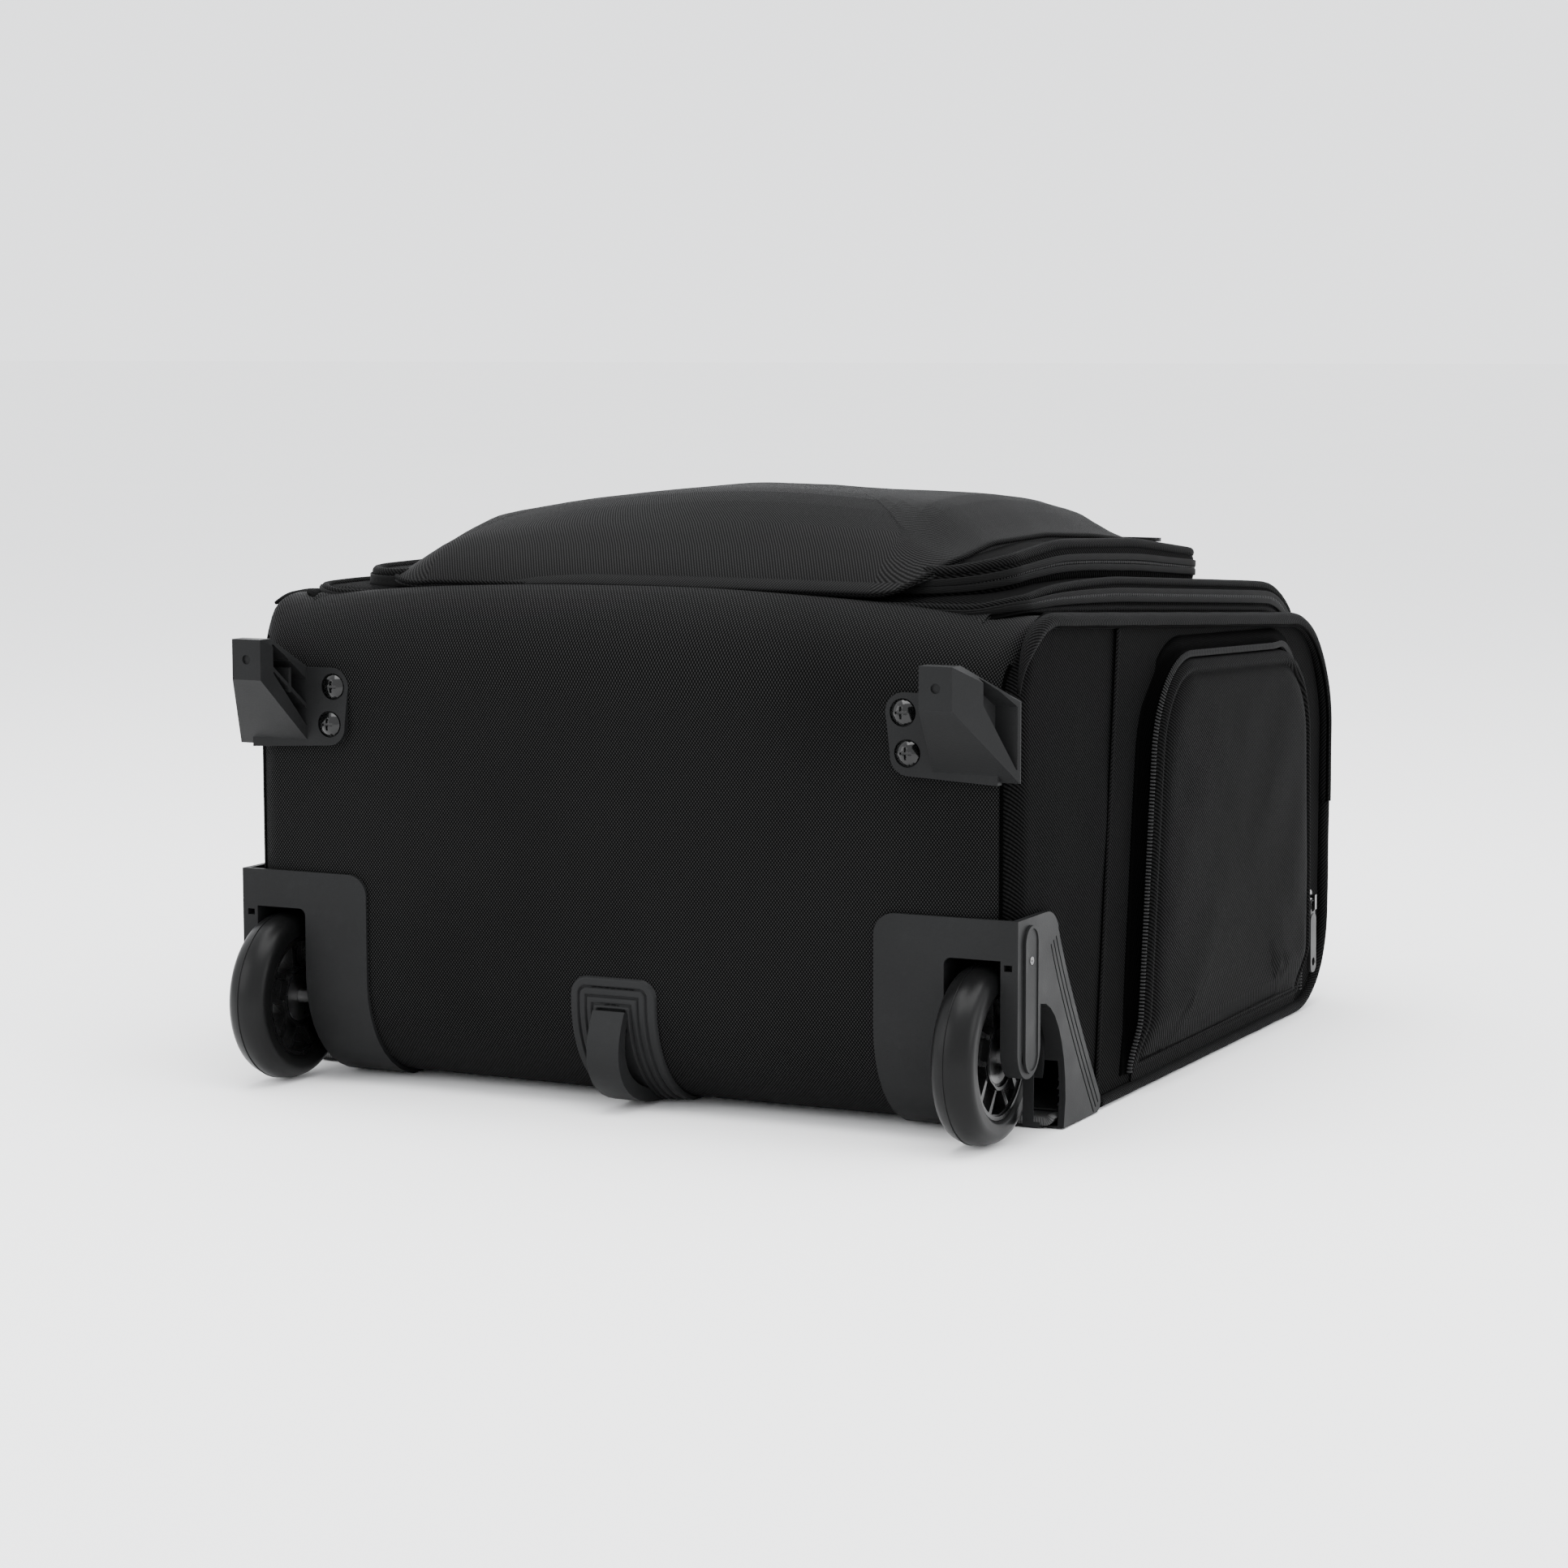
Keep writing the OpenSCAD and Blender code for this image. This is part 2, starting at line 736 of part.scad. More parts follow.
// ---------- soft carry handles ----------
carry_hw = 66;
carry_t = 8;
carry_w = 32;
top_handle_z = 112;
module padded_bar(t) {
    hull() {
        for (s = [-1, 1]) translate([s * (carry_hw - 12), 0, 0])
            cylinder(r = 12, h = t * 0.6, $fn = 32);
        translate([-carry_hw + 20, -carry_w / 2, 1]) cube([2 * carry_hw - 40, carry_w, t - 1]);
    }
}

module anchor_pads() {
    for (s = [-1, 1]) translate([s * (carry_hw + 16.5), 0, 0])
        linear_extrude(3.2) rounded_rect(30, 27, 6);
}

module on_top_panel() {
    in_case() translate([0, body_l + 0.1, top_handle_z]) rotate([-90, 0, 0]) children();
}

module on_left_side() {
    in_case() translate([-half_w - 0.1, 215, 108]) rotate([0, -90, 0]) rotate([0, 0, 90])
        children();
}

module top_handle() {
    color("#1f2022") on_top_panel() translate([0, 0, handle_out - 0.1 - carry_t])
        padded_bar(carry_t);
}

module top_handle_anchors() {
    color("#303133") on_top_panel() anchor_pads();
}

module left_handle() {
    color("#1f2022") on_left_side() translate([0, 0, 0.4])
        padded_bar(side_out - 0.5);
}

module left_handle_anchors() {
    color("#303133") on_left_side() anchor_pads();
}

// ---------- lid and pockets ----------
lid_end = 374;
module lid_panel() {
    color("#1b1b1c") in_case() intersection() {
        x_prism(-lid_hw, lid_hw) difference() {
            polygon(body_outline(-lid_t - gap));
            polygon(body_outline(-gap));
        }
        rounded_slab(-lid_hw, lid_hw, hinge_y, lid_end, 120, base_depth + 20, 22);
    }
}

module pocket_b() {
    color("#1d1d1e") in_case() on_front()
        rounded_slab(-pocket_b_hw, pocket_b_hw, hinge_y + 14, pocket_end, lid_t + gap + 0.1,
            lid_t + pocket_b_t, 30);
}

module pocket_a() {
    low = lid_t + pocket_b_t + 0.1;
    color("#212122") in_case() on_front() hull() {
        rounded_slab(-pocket_a_hw, pocket_a_hw, hinge_y + 2, pocket_a_end, low, low + 4, 28);
        rounded_slab(-pocket_a_hw + 14, pocket_a_hw - 14, hinge_y + 14, pocket_a_end - 14, low,
            low + 14, 28);
        rounded_slab(-pocket_a_hw + 40, pocket_a_hw - 40, hinge_y + 36, pocket_a_end - 60, low,
            pocket_a_top, 24);
    }
}

// ---------- side flap ----------
module side_flap() {
    color("#212122") in_case() hull() {
        x_prism(half_w - 3, half_w + 2) polygon(flap_outline(0));
        x_prism(half_w + side_out - 1, half_w + side_out) polygon(flap_outline(-24));
    }
}

// ---------- zips ----------
module side_zip_tape() {
    color("#0d0d0e") in_case() x_prism(half_w + 0.1, half_w + 1.4) difference() {
        polygon(flap_outline(7));
        polygon(flap_outline(flap_gap + 0.6));
        translate([0, -60]) square([500, 60 + flap_low_z]);
    }
}

module lid_zip_tape() {
    color("#0d0d0e") in_case() intersection() {
        x_prism(-lid_hw - 6, lid_hw + 6) difference() {
            polygon(body_outline(-1.5));
            polygon(body_outline(-0.1));
        }
        difference() {
            rounded_slab(-lid_hw - 6, lid_hw + 6, hinge_y + 10, lid_end + 6, 120,
                base_depth + 20, 26);
            rounded_slab(-lid_hw - gap, lid_hw + gap, hinge_y - 30, lid_end + gap, 119,
                base_depth + 21, 22);
        }
    }
}

top_zip_z = 57;
module top_zip_tape() {
    color("#0d0d0e") in_case()
        box(-160, 168, body_l + 0.1, body_l + 1.3, top_zip_z - 5, top_zip_z + 5);
}

// slider lying on its track: the track runs along X, Z points away from the fabric
slider_l = 11;
slider_w = 8;
slider_h = 3.6;
module slider(turn = 0) {
    linear_extrude(slider_h) rounded_rect(slider_l, slider_w, 2.5);
    // bridge that holds the pull
    translate([0, 0, slider_h]) rotate([90, 0, turn]) linear_extrude(2.4, center = true)
        difference() {
            translate([-3.5, -0.4]) square([7, 3.6]);
            translate([-2, 0.1]) square([4, 2.2]);
        }
}

// pull lying along +X from its hinge at the origin, Z away from the fabric
module pull(l, w, t) {
    // the link goes round the slider's bridge
    difference() {
        translate([-0.9, -3.4, -0.6]) cube([7.7, 6.8, 1.2]);
        translate([-0.3, -1.8, -1]) cube([4.8, 3.6, 2]);
    }
    difference() {
        translate([5.6 + l / 2, 0, -t / 2]) linear_extrude(t) rounded_rect(l, w, w / 2 - 0.6);
        translate([l + 0.6, 0, -t]) cylinder(r = w / 4, h = 2 * t);
    }
}

pull_l = 28;
pull_w = 8;
pull_t = 1.8;
pull_lift = slider_h + 1.2;

// track frames: X along the zip, Z away from the fabric
track_lift = 1.8;
side_slant = 1.9;
side_track_y = 351.3;
side_slider_z = 52;
module on_side_track() {
    in_case() translate([half_w + track_lift, side_track_y, side_slider_z])
        rotate([side_slant, 0, 0]) rotate([0, 90, 0]) children();
}

module side_slider() {
    color("#3a3b3d") on_side_track() slider();
}

module side_pull() {
    color("#2c2d2f") on_side_track() translate([0, 0, pull_lift]) pull(pull_l, pull_w, pull_t);
}

top_slider_x = 170;
module on_top_track() {
    in_case() translate([top_slider_x, body_l + track_lift, top_zip_z]) rotate([-90, 0, 0]) children();
}

module top_slider() {
    color("#3a3b3d") on_top_track() slider(90);
}

module top_pull() {
    color("#3c3d3f") on_top_track() translate([0, 0, pull_lift]) rotate([0, 0, 90])
        pull(pull_l, pull_w, pull_t);
}

lid_slider_x = 16;
lid_track_angle = 36;
lid_track_r = r_top_front + track_lift + 0.1;
module on_lid_track() {
    in_case() translate([0, top_front_c[0], top_front_c[1]]) rotate([lid_track_angle - 90, 0, 0])
        translate([lid_slider_x, 0, lid_track_r]) children();
}

module lid_slider_right() {
    color("#3a3b3d") on_lid_track() slider();
}

module lid_pull_right() {
    color("#2c2d2f") on_lid_track() translate([0, 0, pull_lift]) pull(pull_l, 7, pull_t);
}

module lid_slider_left() {
    color("#3a3b3d") mirror([1, 0, 0]) on_lid_track() slider();
}

module lid_pull_left() {
    color("#2c2d2f") mirror([1, 0, 0]) on_lid_track() translate([0, 0, pull_lift])
        pull(pull_l, 7, pull_t);
}

pocket_slider_x = 96;
module on_pocket_track() {
    in_case() on_front() translate([pocket_slider_x, pocket_a_end + 11,
        lid_t + pocket_b_t + 0.35]) children();
}

module pocket_slider() {
    color("#3a3b3d") on_pocket_track() slider();
}

module pocket_pull() {
    color("#2c2d2f") on_pocket_track() translate([0, 0, pull_lift]) pull(pull_l, pull_w, pull_t);
}

back_panel();
base_panel();
top_panel();
left_side();
right_side();
front_rim();
back_lining();
side_pocket_lining();
left_piping();
right_piping();
left_wheel_housing();
right_wheel_housing();
left_axle();
right_axle();
left_tyre();
left_hub();
left_bearings();
right_tyre();
right_hub();
right_bearings();
housing_trims();
trim_screws();
left_foot();
right_foot();
foot_screws();
base_handle_mount();
base_handle_strap();
handle_bezel();
tube_bracket();
outer_tubes();
middle_tubes();
inner_tubes();
grip();
grip_button();
top_handle();
top_handle_anchors();
left_handle();
left_handle_anchors();
lid_panel();
pocket_b();
pocket_a();
side_flap();
side_zip_tape();
lid_zip_tape();
top_zip_tape();
side_slider();
side_pull();
top_slider();
top_pull();
lid_slider_left();
lid_pull_left();
lid_slider_right();
lid_pull_right();
pocket_slider();
pocket_pull();
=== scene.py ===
"""Looks of the wheeled crew case: woven fabric, padding, seams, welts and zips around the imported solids.

Points are written in case millimetres: X across from the middle, Y from the base panel towards
the top, Z up from the surface that the case lies on. row() turns them into the row frame."""

import math

import bmesh
import bpy
import numpy as np
from mathutils import Matrix, Vector


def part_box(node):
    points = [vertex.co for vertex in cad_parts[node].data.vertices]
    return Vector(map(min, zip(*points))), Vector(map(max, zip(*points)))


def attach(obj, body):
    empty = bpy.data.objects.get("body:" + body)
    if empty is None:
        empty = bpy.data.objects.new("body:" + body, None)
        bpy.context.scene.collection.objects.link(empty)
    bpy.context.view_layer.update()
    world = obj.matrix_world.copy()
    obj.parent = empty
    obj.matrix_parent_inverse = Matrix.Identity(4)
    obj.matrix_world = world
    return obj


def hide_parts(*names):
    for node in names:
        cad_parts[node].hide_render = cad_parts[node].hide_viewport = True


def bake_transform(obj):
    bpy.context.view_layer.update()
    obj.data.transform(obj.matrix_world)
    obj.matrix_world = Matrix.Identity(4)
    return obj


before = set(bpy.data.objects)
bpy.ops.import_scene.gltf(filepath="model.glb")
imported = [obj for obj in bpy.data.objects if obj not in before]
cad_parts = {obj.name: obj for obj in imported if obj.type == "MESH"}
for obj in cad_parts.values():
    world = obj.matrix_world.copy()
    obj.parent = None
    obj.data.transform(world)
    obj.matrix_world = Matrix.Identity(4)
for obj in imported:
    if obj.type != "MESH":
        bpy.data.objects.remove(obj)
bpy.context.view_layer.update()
MM = 0.001
base_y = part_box("base_panel")[0].y

# ------------------------------------------------------------------ shape of the case, in mm
HALF_W, LENGTH, DEPTH, BACK_Z = 177.0, 388.0, 210.0, 0.8
TILT = math.radians(3.7)
SLOPE = math.tan(TILT)
HINGE_Y = 24.0
LID_HW, POCKET_B_HW, POCKET_A_HW = 165.0, 150.0, 132.0
WELL_X, WELL_Y, WELL_Z = 145.0, 47.0, 78.0
WHEEL_X, AXLE_Y, AXLE_Z, TYRE_R = 162.5, 5.5, 36.0, 35.87
BEZEL_X, LID_HOLE_X = 84.4, 152.0
COVER_T, LINING_T = 3.2, 1.2
FLOOR_Z = -0.0006


def row(points):
    p = np.array(points, float) * MM
    p[..., 1] += base_y
    return p


def point(x, y, z):
    return Vector(row([x, y, z]))


def smooth(a, b, t):
    t = np.clip((np.asarray(t, float) - a) / (b - a), 0, 1)
    return t * t * (3 - 2 * t)


def ripple(p, size, seed):
    """Slow, repeatable unevenness of cloth, about -1 to 1, at points p in mm."""
    x, y, z = (np.asarray(p)[..., k] / size for k in range(3))
    return (np.sin(1.7 * x + 2.3 * y + seed) * np.cos(2.1 * z - 1.3 * y + 2 * seed)
            + 0.6 * np.sin(3.1 * x - 2.7 * z + 1.9 * y + 3 * seed)
            + 0.3 * np.sin(5.3 * x + 4.7 * y + 4.1 * z + seed)) / 1.9


class Line:
    """A planar line with outward normals, read by its length."""

    def __init__(self, pts, nrm):
        self.p, self.n = np.array(pts, float), np.array(nrm, float)
        self.s = np.r_[0, np.cumsum(np.linalg.norm(np.diff(self.p, axis=0), axis=1))]

    def at(self, s, out=0.0):
        p = np.stack([np.interp(s, self.s, self.p[:, k]) for k in (0, 1)], -1)
        n = np.stack([np.interp(s, self.s, self.n[:, k]) for k in (0, 1)], -1)
        n /= np.linalg.norm(n, axis=-1, keepdims=True)
        return p + n * np.asarray(out)[..., None], n

    def near(self, y, z):
        return float(self.s[np.argmin(np.hypot(self.p[:, 0] - y, self.p[:, 1] - z))])


def body_line():
    """The case's side outline, from the bottom of the base face round the back, top and front."""
    def front_centre(y, r):
        return y, DEPTH - SLOPE * y - r / math.cos(TILT)

    turn = 90 - math.degrees(TILT)
    corners = [((45, BACK_Z + 45), 45, 180, 270), ((LENGTH - 42, BACK_Z + 42), 42, 270, 360),
               (front_centre(LENGTH - 60, 60), 60, 0, turn), (front_centre(36, 36), 36, turn, 180)]
    pts, nrm = [], []
    for c, r, a0, a1 in corners:
        a = np.radians(np.linspace(a0, a1, 91))
        n = np.c_[np.cos(a), np.sin(a)]
        p = np.array(c) + r * n
        if pts:
            gap = np.linspace(pts[-1][-1], p[0], 201)[1:-1]
            pts.append(gap)
            nrm.append(np.repeat(n[:1], len(gap), 0))
        pts.append(p)
        nrm.append(n)
    gap = np.linspace(pts[-1][-1], pts[0][0], 121)[1:]
    pts.append(gap)
    nrm.append(np.repeat([[-1.0, 0.0]], len(gap), 0))
    return Line(np.vstack(pts), np.vstack(nrm))


BODY = body_line()
# the front face, read from the lid's hinge line towards the top
_front = BODY.near(HINGE_Y, DEPTH - SLOPE * HINGE_Y)


def front_at(x, q, out):
    """A point over the front face: q along it from the hinge line, out away from it."""
    p, _ = BODY.at(_front - np.asarray(q, float), out)
    return np.stack([np.broadcast_to(x, p[..., 0].shape), p[..., 0], p[..., 1]], -1)


def flap_line(d):
    """Outline of the side pocket's flap, grown by d, from the top end of the case to the base end."""
    def arc(c, r, a0, a1):
        a = np.radians(np.linspace(a0, a1, 25))
        return np.c_[c[0] + r * np.cos(a), c[1] + r * np.sin(a)]

    low = 9.0
    pts = np.vstack([[[348 + d, low]], [[348 + d * 0.9 - 1.5, 70]], arc((300, 131), 44 + d, 5, 88),
                     arc((183, 138), 42 + d, 88, 172), [[126 - d, low]]])
    return pts


def resample(pts, n):
    """A line cut again into n points at equal steps."""
    pts = np.asarray(pts, float)
    s = np.r_[0, np.cumsum(np.linalg.norm(np.diff(pts, axis=0), axis=1))]
    t = np.linspace(0, s[-1], n)
    return np.stack([np.interp(t, s, pts[:, k]) for k in range(pts.shape[1])], -1)


# ------------------------------------------------------------------ materials
class Graph:
    """A material's node graph, written as expressions."""

    def __init__(self, name):
        self.mat = bpy.data.materials.new(name)
        self.mat.use_nodes = True
        self.tree = self.mat.node_tree
        self.bsdf = self.tree.nodes["Principled BSDF"]

    def node(self, kind, **settings):
        n = self.tree.nodes.new(kind)
        for k, v in settings.items():
            setattr(n, k, v)
        return n

    def put(self, socket, value):
        if isinstance(value, bpy.types.NodeSocket):
            self.tree.links.new(value, socket)
        else:
            socket.default_value = value

    def math(self, op, *values):
        n = self.node("ShaderNodeMath", operation=op)
        for k, v in enumerate(values):
            self.put(n.inputs[k], v)
        return n.outputs[0]

    def mix(self, f, a, b):
        n = self.node("ShaderNodeMix", data_type="RGBA")
        self.put(n.inputs[0], f)
        self.put(n.inputs[6], a)
        self.put(n.inputs[7], b)
        return n.outputs[2]

    def spread(self, value, low, high, to_low=0.0, to_high=1.0):
        n = self.node("ShaderNodeMapRange")
        for k, v in enumerate((value, low, high, to_low, to_high)):
            self.put(n.inputs[k], v)
        return n.outputs[0]

    def noise(self, scale, detail=2.0, rough=0.5, where="Object", stretch=None):
        co = self.node("ShaderNodeTexCoord").outputs[where]
        if stretch:
            m = self.node("ShaderNodeMapping")
            self.put(m.inputs["Vector"], co)
            m.inputs["Scale"].default_value = stretch
            co = m.outputs[0]
        n = self.node("ShaderNodeTexNoise")
        self.put(n.inputs["Vector"], co)
        n.inputs["Scale"].default_value = scale
        n.inputs["Detail"].default_value = detail
        n.inputs["Roughness"].default_value = rough
        return n.outputs[0]

    def bump(self, height, distance, strength=1.0, under=None):
        n = self.node("ShaderNodeBump")
        n.inputs["Distance"].default_value = distance
        n.inputs["Strength"].default_value = strength
        self.put(n.inputs["Height"], height)
        if under is not None:
            self.put(n.inputs["Normal"], under)
        return n.outputs[0]

    def surface(self, **values):
        for k, v in values.items():
            self.put(self.bsdf.inputs[k.replace("_", " ")], v)
        return self.mat

    def uv(self):
        """The two UV directions, in millimetres."""
        n = self.node("ShaderNodeSeparateXYZ")
        self.put(n.inputs[0], self.node("ShaderNodeUVMap", uv_map="UVMap").outputs[0])
        return [self.math("MULTIPLY", n.outputs[k], 1 / MM) for k in (0, 1)]


def grey(v, warm=0.0):
    return (v * (1 + warm), v, v * (1 - warm), 1.0)


def wave(g, value, pitch):
    return g.math("SINE", g.math("MULTIPLY", value, 2 * math.pi / pitch))


def cloth_surface(g, height, low, high, relief, rough, sheen, shine):
    """Painted shade in the gaps between yarns, painted light on the yarn tops, slow unevenness, and a
    little nylon shine.
    """
    uneven = g.spread(g.noise(9.0, 3.0), 0.3, 0.7, 0.82, 1.18)
    fuzz = g.spread(g.noise(900.0, 2.0), 0.3, 0.7, 0.93, 1.07)
    # colour runs from low in the weave's gaps to high on its tops (painted shade in the gaps, painted
    # light on the tops), times random unevenness
    tone = g.math("MULTIPLY", g.math("MULTIPLY", uneven, fuzz), height)
    colour = g.mix(g.math("MINIMUM", tone, 1.0), grey(low), grey(high))
    normal = g.bump(height, relief, 0.7, g.bump(g.noise(45.0, 2.0), 0.0012, 0.25))
    return g.surface(Base_Color=colour, Roughness=g.spread(height, 0, 1, rough + 0.14, rough),
                     Normal=normal, Sheen_Weight=sheen, Sheen_Roughness=0.4,
                     Sheen_Tint=(0.8, 0.82, 0.86, 1), Specular_IOR_Level=shine)


def basket_weave(name, low, high, pu=1.35, pv=1.7):
    """Raised squares of yarn, pu by pv mm."""
    g = Graph(name)
    u, v = g.uv()
    checks = g.math("MULTIPLY", wave(g, u, pu), wave(g, v, pv))
    return cloth_surface(g, g.spread(checks, -0.15, 0.6), low, high, 0.00035, 0.5, 0.006, 0.025)


def twill(name, low, high, pitch, angle, relief, sheen=0.015, shine=0.05):
    """Diagonal ribs, pitch mm apart and turned by angle, with a finer twist in each yarn."""
    g = Graph(name)
    u, v = g.uv()
    a = math.radians(angle)
    across = g.math("ADD", g.math("MULTIPLY", u, math.sin(a)), g.math("MULTIPLY", v, math.cos(a)))
    along = g.math("SUBTRACT", g.math("MULTIPLY", u, math.cos(a)), g.math("MULTIPLY", v, math.sin(a)))
    rib = g.spread(wave(g, across, pitch), -0.9, 0.9)
    twist = g.math("ADD", along, g.math("MULTIPLY", across, 0.5))
    yarn = g.spread(wave(g, twist, pitch * 1.3), -1, 1, 0.72, 1.0)
    return cloth_surface(g, g.math("MULTIPLY", rib, yarn), low, high, relief, 0.55, sheen, shine)


def moulded(name, tone, rough, grain=0.00008, specular=0.5):
    """Plastic or rubber with a fine grain, cloudy tone and slightly worn patches."""
    g = Graph(name)
    cloud = g.spread(g.noise(14.0, 3.0), 0.3, 0.7, -1.0, 1.0)
    wear = g.spread(g.noise(120.0, 4.0, 0.7), 0.55, 0.8)
    colour = g.mix(g.spread(cloud, -1, 1), grey(tone * 0.86, -0.02), grey(tone * 1.14, -0.02))
    colour = g.mix(g.math("MULTIPLY", wear, 0.25), colour, grey(tone * 1.6, -0.02))
    patches = g.spread(g.noise(60.0, 3.0), 0.3, 0.7, -1, 1)
    return g.surface(Base_Color=colour, Roughness=g.math("ADD", rough, g.math("MULTIPLY", patches, 0.05)),
                     Normal=g.bump(g.noise(1600.0, 2.0), grain, 0.6), Specular_IOR_Level=specular)


def metal(name, tone, rough, brushed=(1, 1, 1)):
    g = Graph(name)
    lines = g.noise(260.0, 3.0, 0.6, stretch=brushed)
    colour = g.mix(g.spread(lines, 0.3, 0.7), grey(tone * 0.85), grey(tone))
    return g.surface(Base_Color=colour, Metallic=1.0, Normal=g.bump(lines, 0.00003, 0.5),
                     Roughness=g.spread(lines, 0.3, 0.7, rough * 0.8, rough * 1.25))


# each cloth gets a gap colour and a top colour; the darker gap colour is painted shade in the weave
BASE_CLOTH = basket_weave("base_weave", 0.0002, 0.015)
SIDE_CLOTH = twill("side_twill", 0.0003, 0.0058, 1.35, 38.0, 0.0003, 0.004, 0.006)
FLAP_CLOTH = twill("flap_twill", 0.0004, 0.0075, 1.35, 38.0, 0.0003, 0.005, 0.01)
POCKET_CLOTH = twill("pocket_twill", 0.0015, 0.0115, 0.9, 62.0, 0.0002, 0.01, 0.03)
WELT_CLOTH = twill("welt_twill", 0.0005, 0.0080, 1.2, 50.0, 0.0003, 0.008, 0.015)
# zip tape cloth, nearly black and far darker than the other cloths: partly the tape's own black, partly
# painted shade for the deep gap beside the side pocket's flap; the seams and the painted shadow strip
# under the welts use it too
TAPE_AND_SHADE_CLOTH = twill("tape_weave_and_shade", 0.0001, 0.0006, 0.8, 8.0, 0.0001, 0.0, 0.006)
SATIN_TAPE = twill("satin_tape", 0.002, 0.0055, 0.6, 80.0, 0.00006, 0.005, 0.04)
LINING = twill("lining_weave", 0.04, 0.09, 0.8, 45.0, 0.0001)
WEBBING = twill("webbing_weave", 0.001, 0.008, 1.6, 90.0, 0.0004)
THREAD = twill("thread_twist", 0.0015, 0.008, 0.5, 40.0, 0.0001)
HOUSING = moulded("housing_plastic", 0.0105, 0.42, specular=0.05)
FOOT = moulded("foot_plastic", 0.0090, 0.40, specular=0.06)
GRIP = moulded("grip_plastic", 0.008, 0.4, specular=0.2)
BUTTON = moulded("button_plastic", 0.05, 0.4, specular=0.3)
HUB = moulded("hub_plastic", 0.0025, 0.26, 0.00003, 0.3)
TYRE = moulded("tyre_rubber", 0.0025, 0.34, 0.00003, 0.12)
STRAP = moulded("strap_rubber", 0.0115, 0.42, specular=0.06)
PULL = moulded("pull_rubber", 0.005, 0.4, specular=0.15)
COIL = moulded("coil_nylon", 0.005, 0.34, 0.00003, specular=0.12)
STEEL = metal("zinc_steel", 0.16, 0.34)
BLACK_STEEL = moulded("black_steel", 0.002, 0.14, 0.00002, 0.3)
SLIDER = metal("slider_metal", 0.06, 0.25)
ALUMINIUM = metal("tube_aluminium", 0.62, 0.3, (1, 0.02, 1))


# ------------------------------------------------------------------ mesh builders
def build(name, verts, faces, uvs, mats, body, slot, closed=False):
    """A mesh from case mm; uvs holds one (u, v) in mm for each corner of each face."""
    mesh = bpy.data.meshes.new(name)
    mesh.from_pydata(row(verts).tolist(), [], [list(map(int, f)) for f in faces])
    layer = mesh.uv_layers.new(name="UVMap")
    flat_uv = np.concatenate([np.asarray(u, float) for u in uvs]) * MM
    layer.data.foreach_set("uv", flat_uv.astype(np.float32).ravel())
    for m in mats if isinstance(mats, list) else [mats]:
        mesh.materials.append(m)
    if closed:
        bm = bmesh.new()
        bm.from_mesh(mesh)
        bmesh.ops.recalc_face_normals(bm, faces=bm.faces)
        bm.to_mesh(mesh)
        bm.free()
    mesh.shade_smooth()
    obj = bpy.data.objects.new(name, mesh)
    bpy.context.scene.collection.objects.link(obj)
    if body:
        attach(obj, body)
    return obj


def lattice(pts, wrap_u=False, wrap_v=False, uv=None, keep=None, flip=False, ends=False):
    """Faces over an (n, m, 3) lattice. wrap_u and wrap_v close it; ends fills the tube's two mouths."""
    pts = np.asarray(pts, float)
    n, m = pts.shape[:2]
    if uv is None:
        rows = np.vstack([pts, pts[:1]]) if wrap_u else pts
        u = np.r_[0, np.cumsum(np.linalg.norm(np.diff(rows, axis=0), axis=2).mean(1))]
        cols = np.concatenate([pts, pts[:, :1]], 1) if wrap_v else pts
        v = np.r_[0, np.cumsum(np.linalg.norm(np.diff(cols, axis=1), axis=2).mean(0))]
        uv = np.stack(np.meshgrid(v, u), -1)
    faces, uvs = [], []
    for i in range(n if wrap_u else n - 1):
        for j in range(m if wrap_v else m - 1):
            corners = [(i, j), (i + 1, j), (i + 1, j + 1), (i, j + 1)]
            if flip:
                corners.reverse()
            ids = [(a % n) * m + b % m for a, b in corners]
            flat = pts.reshape(-1, 3)[ids]
            if keep is not None and not keep(flat.mean(0)):
                continue
            faces.append(ids)
            uvs.append([uv[a, b] for a, b in corners])
    if ends:
        for i in (0, n - 1):
            ids = [i * m + j for j in (range(m) if (i == 0) != flip else reversed(range(m)))]
            faces.append(ids)
            uvs.append([uv[i, k % m] for k in ids])
    return pts.reshape(-1, 3), faces, uvs


def solidify(obj, thickness, offset=-1.0, inner=None):
    """Gives a sheet its thickness in mm; inner is the material slot for the inside."""
    m = obj.modifiers.new("thickness", "SOLIDIFY")
    m.thickness, m.offset = thickness * MM, offset
    if inner is not None:
        m.material_offset = m.material_offset_rim = inner


def sweep(name, path, ups, section, mat, body, slot, closed=False, scale=None):
    """A closed section, (sideways, up) in mm, carried along a path whose up directions are given."""
    path, section = np.asarray(path, float), np.asarray(section, float)
    ups = np.broadcast_to(np.asarray(ups, float), path.shape)
    tan = (np.roll(path, -1, 0) - np.roll(path, 1, 0)) if closed else np.gradient(path, axis=0)
    side = np.cross(tan, ups)
    side /= np.linalg.norm(side, axis=1, keepdims=True)
    up = np.cross(side, tan)
    up /= np.linalg.norm(up, axis=1, keepdims=True)
    scale = np.ones(len(path)) if scale is None else np.asarray(scale)
    spread = side[:, None] * section[None, :, :1] + up[:, None] * section[None, :, 1:]
    pts = path[:, None] + spread * scale[:, None, None]
    skin = lattice(pts, wrap_u=closed, wrap_v=True, ends=not closed)
    return build(name, *skin, mat, body, slot, True)


def round_section(r, n=12, flat=1.0):
    a = np.linspace(0, 2 * math.pi, n, endpoint=False)
    return np.c_[r * np.cos(a), r * flat * np.sin(a)]


